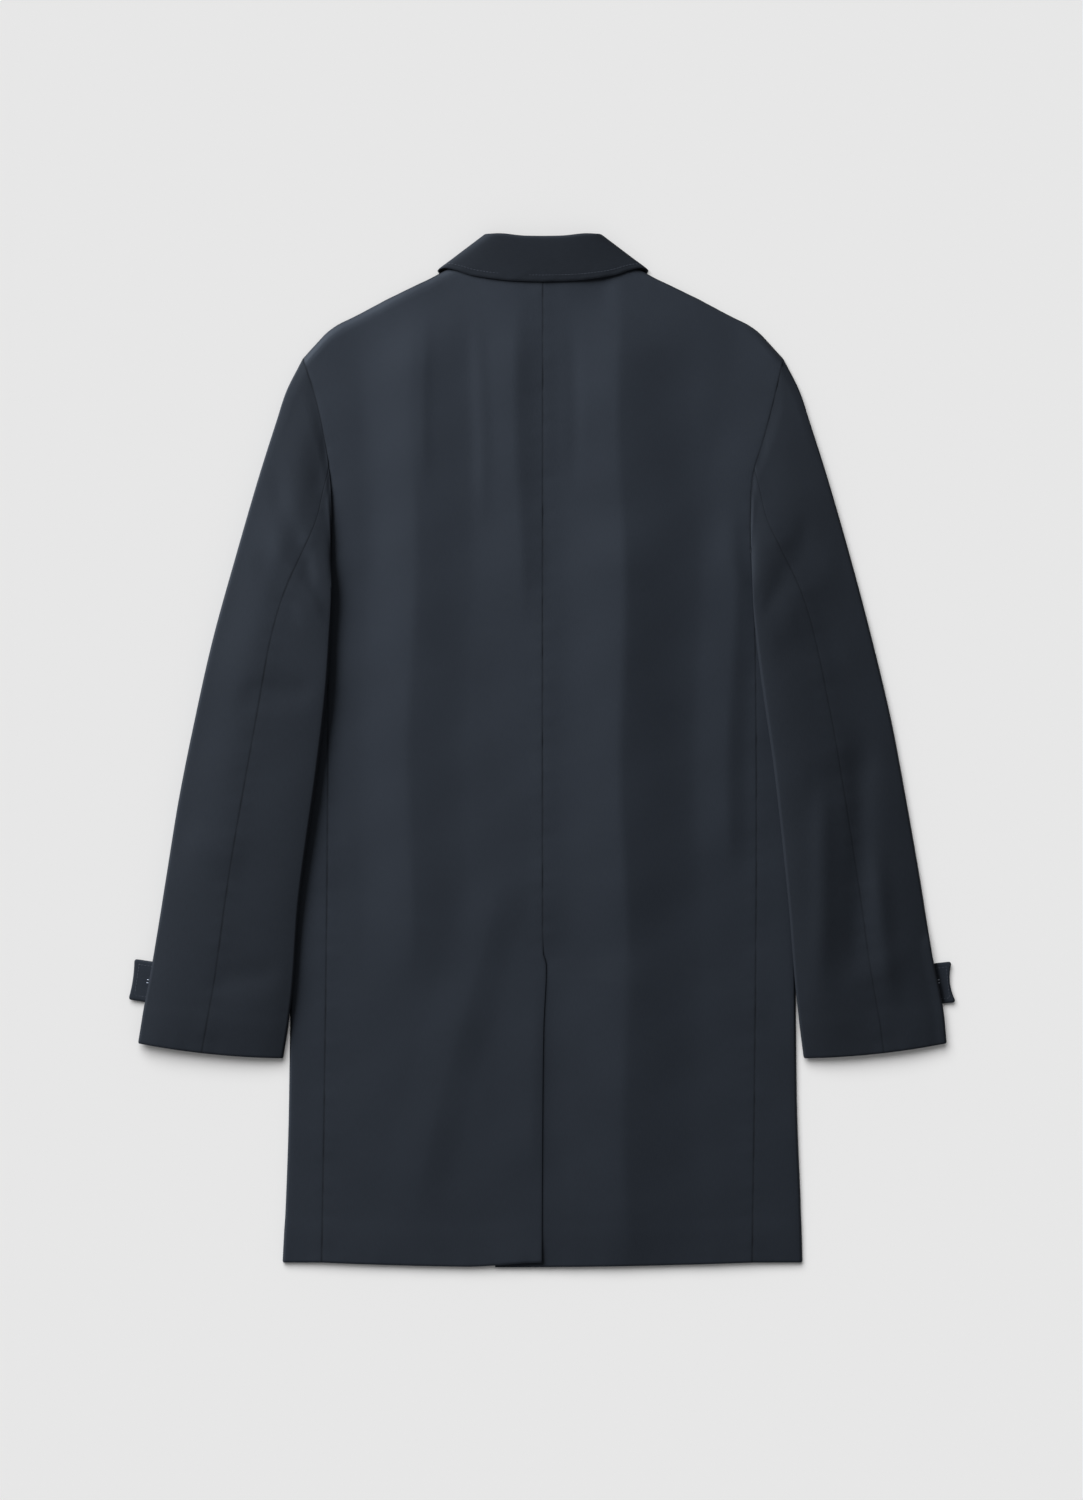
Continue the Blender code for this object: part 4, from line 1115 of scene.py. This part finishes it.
def inset_path(points, inset, lift):
    """The line on a sheet that runs an inset's distance from its last column, lifted off the cloth."""
    distance = arcs(points)[0]
    distance = distance[:, -1:] - distance
    facing = outward(points, False)
    lines = []
    for row in range(len(points)):
        spots = points[row] + facing[row] * lift
        lines.append([np.interp(inset, distance[row, ::-1], spots[::-1, axis]) for axis in range(3)])
    return np.maximum(lines, (-np.inf, -np.inf, THREAD_THICKNESS / 2))


collar_steps = np.linspace(-COLLAR_END, COLLAR_END, COLLAR_ROWS)
stand_edges = {"first": SEAM, "low": EDGE, "high": EDGE}
stand = shell("collar_stand_cloth", stand_points(collar_steps), stand_edges, offset=0.0)
lay(stand, "collar_stand")
fall_sheet = fall_points(collar_steps)
edge_stitch = stitched("collar_stitching", inset_path(fall_sheet, STITCH_INSET, WALL / 2 - STITCH_SUNK))
fall_edges = {"last": EDGE, "low": EDGE, "high": EDGE}
fall = shell("collar_fall_cloth", fall_sheet, fall_edges, offset=0.0, painted_shade=COLLAR_PAINTED_SHADE)
lay(fall, "collar_fall")

# Cuff tabs. A short strap of doubled cloth lies under each cuff's outer fold and sticks out past it,
# stitched round its edge, and held by a four-hole button on the side towards the floor.
TAB_LENGTH = 0.075
TAB_WIDTH = 0.039
TAB_CORNER = 0.0024
TAB_STEP = 0.0016
TAB_STITCH_INSET = 0.0050
TAB_STITCH_POINTS = 60

# how far a tab sticks out, where, how much of the sleeve's lean it has, and how hollow its end is
TabPlace = namedtuple("TabPlace", "out y lean hollow")
TAB_PLACES = {
    LEFT: TabPlace(0.0166, -0.2195, 0.80, 0.0011),
    RIGHT: TabPlace(0.0145, -0.2212, 0.52, 0.0031),
}


def tab_frame(side):
    """The middle of the tab's outer end, and the ways along it and across it, flat on the floor."""
    tab = TAB_PLACES[side]
    high_y, low_y = tab.y + TAB_WIDTH / 2, tab.y - TAB_WIDTH / 2
    high = np.array([along(OUTER_EDGE, side.name, high_y), high_y])
    low = np.array([along(OUTER_EDGE, side.name, low_y), low_y])
    across = unit((high - low) * (tab.lean, 1.0))
    inward = np.array([across[1], -across[0]]) * -side.sign
    return (high + low) / 2 - inward * tab.out, inward, across


def tab_point(side, away, over, z):
    """A point of the tab: how far from its outer end, how far over from its middle, and its height."""
    middle, inward, across = tab_frame(side)
    flat = middle + inward * away[..., None] + across * over[..., None]
    return np.concatenate([flat, np.full(flat.shape[:-1] + (1,), z)], axis=-1)


def tab_half(away, inset=0.0):
    """Half the tab's width at a distance from its outer end, less in the rounded corners."""
    corner = TAB_CORNER - inset / 2
    to_end = np.minimum(away - inset, TAB_LENGTH - inset - away)
    round_off = corner - np.sqrt(np.maximum(corner**2 - np.maximum(corner - to_end, 0.0) ** 2, 0.0))
    return TAB_WIDTH / 2 - inset - round_off


def tab_points(side):
    away = shares(TAB_LENGTH, TAB_STEP)[:, None] * TAB_LENGTH
    across = shares(TAB_WIDTH, TAB_STEP)[None, :] * 2.0 - 1.0
    over = across * tab_half(away)
    hollow = TAB_PLACES[side].hollow * (1.0 - across**2) * (1.0 - away / TAB_LENGTH)
    return tab_point(side, away + hollow, over, TAB_FLOOR + TAB_WALL)


def tab_stitch_path(side):
    """Once round the tab, an inset from its edge."""
    inset = TAB_STITCH_INSET
    away = np.linspace(inset, TAB_LENGTH - inset, TAB_STITCH_POINTS)
    half = tab_half(away, inset)
    loop_away = np.concatenate([away, away[::-1]])
    loop_over = np.concatenate([half, -half[::-1]])
    return tab_point(side, loop_away, loop_over, TAB_FLOOR + TAB_WALL - STITCH_SUNK)


for side in (LEFT, RIGHT):
    tab_stitch = stitched(f"cuff_tab_stitching_{side.name}", tab_stitch_path(side), closed=True)
    tab = shell(
        f"cuff_tab_cloth_{side.name}",
        tab_points(side),
        {"first": EDGE, "last": EDGE, "low": EDGE, "high": EDGE},
        turned=side is LEFT,
        wall=TAB_WALL,
    )
    lay(tab, f"cuff_tab_{side.name}")

# Tab buttons. Dark four-hole buttons with a raised rim, sewn through the tab, face down under it. The
# thread comes up through the tab as two stitches by the sleeve's edge; their thread is painted pale as a
# glint.
BUTTON_TURNS = 48
BUTTON_WELD = 1e-5
BUTTON_HOLES = 4
BUTTON_HOLE_RADIUS = 0.0009
BUTTON_HOLE_OUT = 0.0020
BUTTON_HOLE_SIDES = 12
DRILL_LENGTH = 0.0088
BUTTON_COLOUR = (0.010, 0.011, 0.015, 1.0)
BUTTON_PALE = (0.022, 0.023, 0.028, 1.0)
BUTTON_ROUGHNESS = 0.25
BUTTON_COAT = 0.3
CLOUD_SIZE = 260.0
CLOUD_DETAIL = 3.0
CLOUD_ROUGHNESS = 0.15
# painted highlight: the shank thread is painted pale to stand for its glint
PALE_GLINT_THREAD_COLOUR = (0.30, 0.33, 0.40, 1.0)
SHANK_BAR = Vector((0.0022, 0.0009, 0.0006))
SHANK_SEGMENTS = 12
SHANK_RINGS = 8
SHANK_HEIGHTS = (0.0006, TAB_FLOOR + TAB_WALL)

# half the button's section, from the middle of its face to the middle of its back
SectionRow = namedtuple("SectionRow", "out down")
BUTTON_SECTION = [
    SectionRow(0.0000, 0.0007),
    SectionRow(0.0040, 0.0007),
    SectionRow(0.0052, 0.0005),
    SectionRow(0.0062, 0.0001),
    SectionRow(0.0072, 0.0000),
    SectionRow(0.0081, 0.0003),
    SectionRow(0.0085, 0.0010),
    SectionRow(0.0083, 0.0017),
    SectionRow(0.0076, 0.0021),
    SectionRow(0.0060, 0.0022),
    SectionRow(0.0000, 0.0022),
]


def button_material():
    made, loom = bare_material("dark_button")
    place = loom.add("ShaderNodeTexCoord", None, None, "Object")
    cloud = loom.add(
        "ShaderNodeTexNoise",
        None,
        {"Vector": place, "Scale": CLOUD_SIZE, "Detail": CLOUD_DETAIL},
    )
    tone = loom.add(
        "ShaderNodeMix",
        {"data_type": "RGBA"},
        {0: cloud, 6: BUTTON_COLOUR, 7: BUTTON_PALE},
        2,
    )
    roughness = cloud * CLOUD_ROUGHNESS + BUTTON_ROUGHNESS
    shader = loom.add(
        "ShaderNodeBsdfPrincipled",
        None,
        {"Base Color": tone, "Roughness": roughness, "Coat Weight": BUTTON_COAT},
    )
    loom.add("ShaderNodeOutputMaterial", None, {"Surface": shader})
    return made


def plain_mesh(name, form):
    """A bmesh's form as a mesh of its own."""
    mesh = bpy.data.meshes.new(name)
    form.to_mesh(mesh)
    form.free()
    return mesh


def button_body(centre):
    """The turned button, face down, without its holes."""
    turned = bmesh.new()
    line = [turned.verts.new((row.out, 0.0, row.down)) for row in BUTTON_SECTION]
    edges = [turned.edges.new(pair) for pair in zip(line, line[1:])]
    bmesh.ops.spin(
        turned,
        geom=line + edges,
        cent=(0.0, 0.0, 0.0),
        axis=(0.0, 0.0, 1.0),
        angle=math.tau,
        steps=BUTTON_TURNS,
    )
    bmesh.ops.remove_doubles(turned, verts=turned.verts[:], dist=BUTTON_WELD)
    bmesh.ops.recalc_face_normals(turned, faces=turned.faces[:])
    bmesh.ops.translate(turned, verts=turned.verts[:], vec=(*centre, 0.0))
    return plain_mesh("button", turned)


def button_drill(centre):
    """Four thin rods, standing where the thread goes through."""
    rods = bmesh.new()
    for hole in range(BUTTON_HOLES):
        angle = math.tau * (hole + 0.5) / BUTTON_HOLES
        made = bmesh.ops.create_cone(
            rods,
            cap_ends=True,
            segments=BUTTON_HOLE_SIDES,
            radius1=BUTTON_HOLE_RADIUS,
            radius2=BUTTON_HOLE_RADIUS,
            depth=DRILL_LENGTH,
        )
        spot = centre + BUTTON_HOLE_OUT * np.array([math.cos(angle), math.sin(angle)])
        bmesh.ops.translate(rods, verts=made["verts"], vec=(*spot, BUTTON_THICK / 2))
    return plain_mesh("button_drill", rods)


def shank_bars(centre, inward, across):
    """Two short bars of thread on the button's face, and two on the tab over it."""
    bars = bmesh.new()
    turn = Quaternion((0.0, 0.0, 1.0), math.atan2(inward[1], inward[0]))
    for over in (-BUTTON_HOLE_OUT, BUTTON_HOLE_OUT):
        spot = centre + across * over * math.sqrt(0.5)
        for height in SHANK_HEIGHTS:
            place = Matrix.LocRotScale(Vector((*spot, height)), turn, SHANK_BAR)
            bmesh.ops.create_uvsphere(
                bars,
                u_segments=SHANK_SEGMENTS,
                v_segments=SHANK_RINGS,
                radius=0.5,
                matrix=place,
            )
    mesh = plain_mesh("shank_bars", bars)
    mesh.shade_smooth()
    return mesh


dark_button = button_material()
shank_thread = thread_material("shank_thread", PALE_GLINT_THREAD_COLOUR)
for side in (LEFT, RIGHT):
    low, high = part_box(f"tab_button_{side.name}")
    centre = ((np.array(low) + np.array(high)) / 2)[:2]
    inward, across = tab_frame(side)[1:]
    button = link(f"tab_button_turned_{side.name}", button_body(centre), dark_button)
    drill = link(f"button_drill_{side.name}", button_drill(centre), dark_button)
    holes = button.modifiers.new("Holes", "BOOLEAN")
    holes.operation = "DIFFERENCE"
    holes.solver = "EXACT"
    holes.object = drill
    settle(button)
    bpy.data.objects.remove(drill)
    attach(button, "root")
    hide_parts(f"tab_button_{side.name}")
    bars = link(f"button_thread_{side.name}", shank_bars(centre, inward, across), shank_thread)
    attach(bars, "root")

# Studio. A plain pale floor with its own soft daylight, which throws the coat's shadow, and one broad
# lamp at the upper left for the coat alone, which models the folds and falls off towards the hem. The
# camera looks straight down.
FLOOR_SIZE = 8.0
FLOOR_DROP = 0.0002
FLOOR_COLOUR = (0.86, 0.86, 0.86, 1.0)
FLOOR_ROUGHNESS = 0.9
SKY_COLOUR = (1.0, 1.0, 1.0, 1.0)
SKY_STRENGTH = 0.20
SUN_STRENGTH = 2.915
SUN_SPREAD = 54.0
SUN_FROM = Vector((-0.29, 0.61, 0.74))
FILL_STRENGTH = 0.14
LAMP_AT = Vector((-2.05, 1.80, 1.22))
LAMP_AIM = Vector((-0.05, 0.05, 0.0))
LAMP_SIZE = 1.70
LAMP_COLOUR = (0.94, 0.97, 1.0)
LAMP_POWER = 209.0
CAMERA_HEIGHT = 6.0
FRAME_HEIGHT = 1.425
FRAME_CENTRE = Vector((0.0, 0.0005))
SENSOR = 36.0

floor_form = bmesh.new()
floor_place = Matrix.Translation((0.0, 0.0, -FLOOR_DROP))
bmesh.ops.create_grid(floor_form, x_segments=1, y_segments=1, size=FLOOR_SIZE / 2, matrix=floor_place)
floor_mesh = plain_mesh("floor", floor_form)
floor_paint = bpy.data.materials.new("floor_paint")
floor_paint.use_nodes = True
floor_shader = floor_paint.node_tree.nodes["Principled BSDF"]
floor_shader.inputs["Base Color"].default_value = FLOOR_COLOUR
floor_shader.inputs["Roughness"].default_value = FLOOR_ROUGHNESS
floor_shader.inputs["Specular IOR Level"].default_value = 0.0
floor = link("floor", floor_mesh, floor_paint)
floor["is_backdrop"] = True

sky = bpy.data.worlds.new("studio")
sky.use_nodes = True
sky_light = sky.node_tree.nodes["Background"]
sky_light.inputs["Color"].default_value = SKY_COLOUR
sky_light.inputs["Strength"].default_value = SKY_STRENGTH
bpy.context.scene.world = sky


def light(name, kind, at, aim):
    data = bpy.data.lights.new(name, kind)
    made = bpy.data.objects.new(name, data)
    bpy.context.scene.collection.objects.link(made)
    made.location = at
    made.rotation_euler = (aim - at).to_track_quat("-Z", "Y").to_euler()
    return made


sun = light("daylight", "SUN", SUN_FROM, Vector((0.0, 0.0, 0.0)))
sun.data.energy = SUN_STRENGTH
sun.data.angle = math.radians(SUN_SPREAD)
fill = light("floor_fill", "SUN", Vector((0.0, 0.0, 1.0)), Vector((0.0, 0.0, 0.0)))
fill.data.energy = FILL_STRENGTH
lamp = light("fold_lamp", "AREA", LAMP_AT, LAMP_AIM)
lamp.data.shape = "DISK"
lamp.data.size = LAMP_SIZE
lamp.data.energy = LAMP_POWER
lamp.data.color = LAMP_COLOUR
coat_only = bpy.data.collections.new("coat_only")
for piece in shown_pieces():
    coat_only.objects.link(piece)
lamp.light_linking.receiver_collection = coat_only
floor_only = bpy.data.collections.new("floor_only")
floor_only.objects.link(floor)
sun.light_linking.receiver_collection = floor_only
fill.light_linking.receiver_collection = floor_only

camera_data = bpy.data.cameras.new("camera")
camera_data.sensor_width = SENSOR
camera_data.lens = SENSOR * CAMERA_HEIGHT / FRAME_HEIGHT
camera = bpy.data.objects.new("camera", camera_data)
camera.location = (FRAME_CENTRE.x, FRAME_CENTRE.y, CAMERA_HEIGHT)
bpy.context.scene.collection.objects.link(camera)
bpy.context.scene.camera = camera
bpy.context.scene.view_settings.view_transform = "Standard"
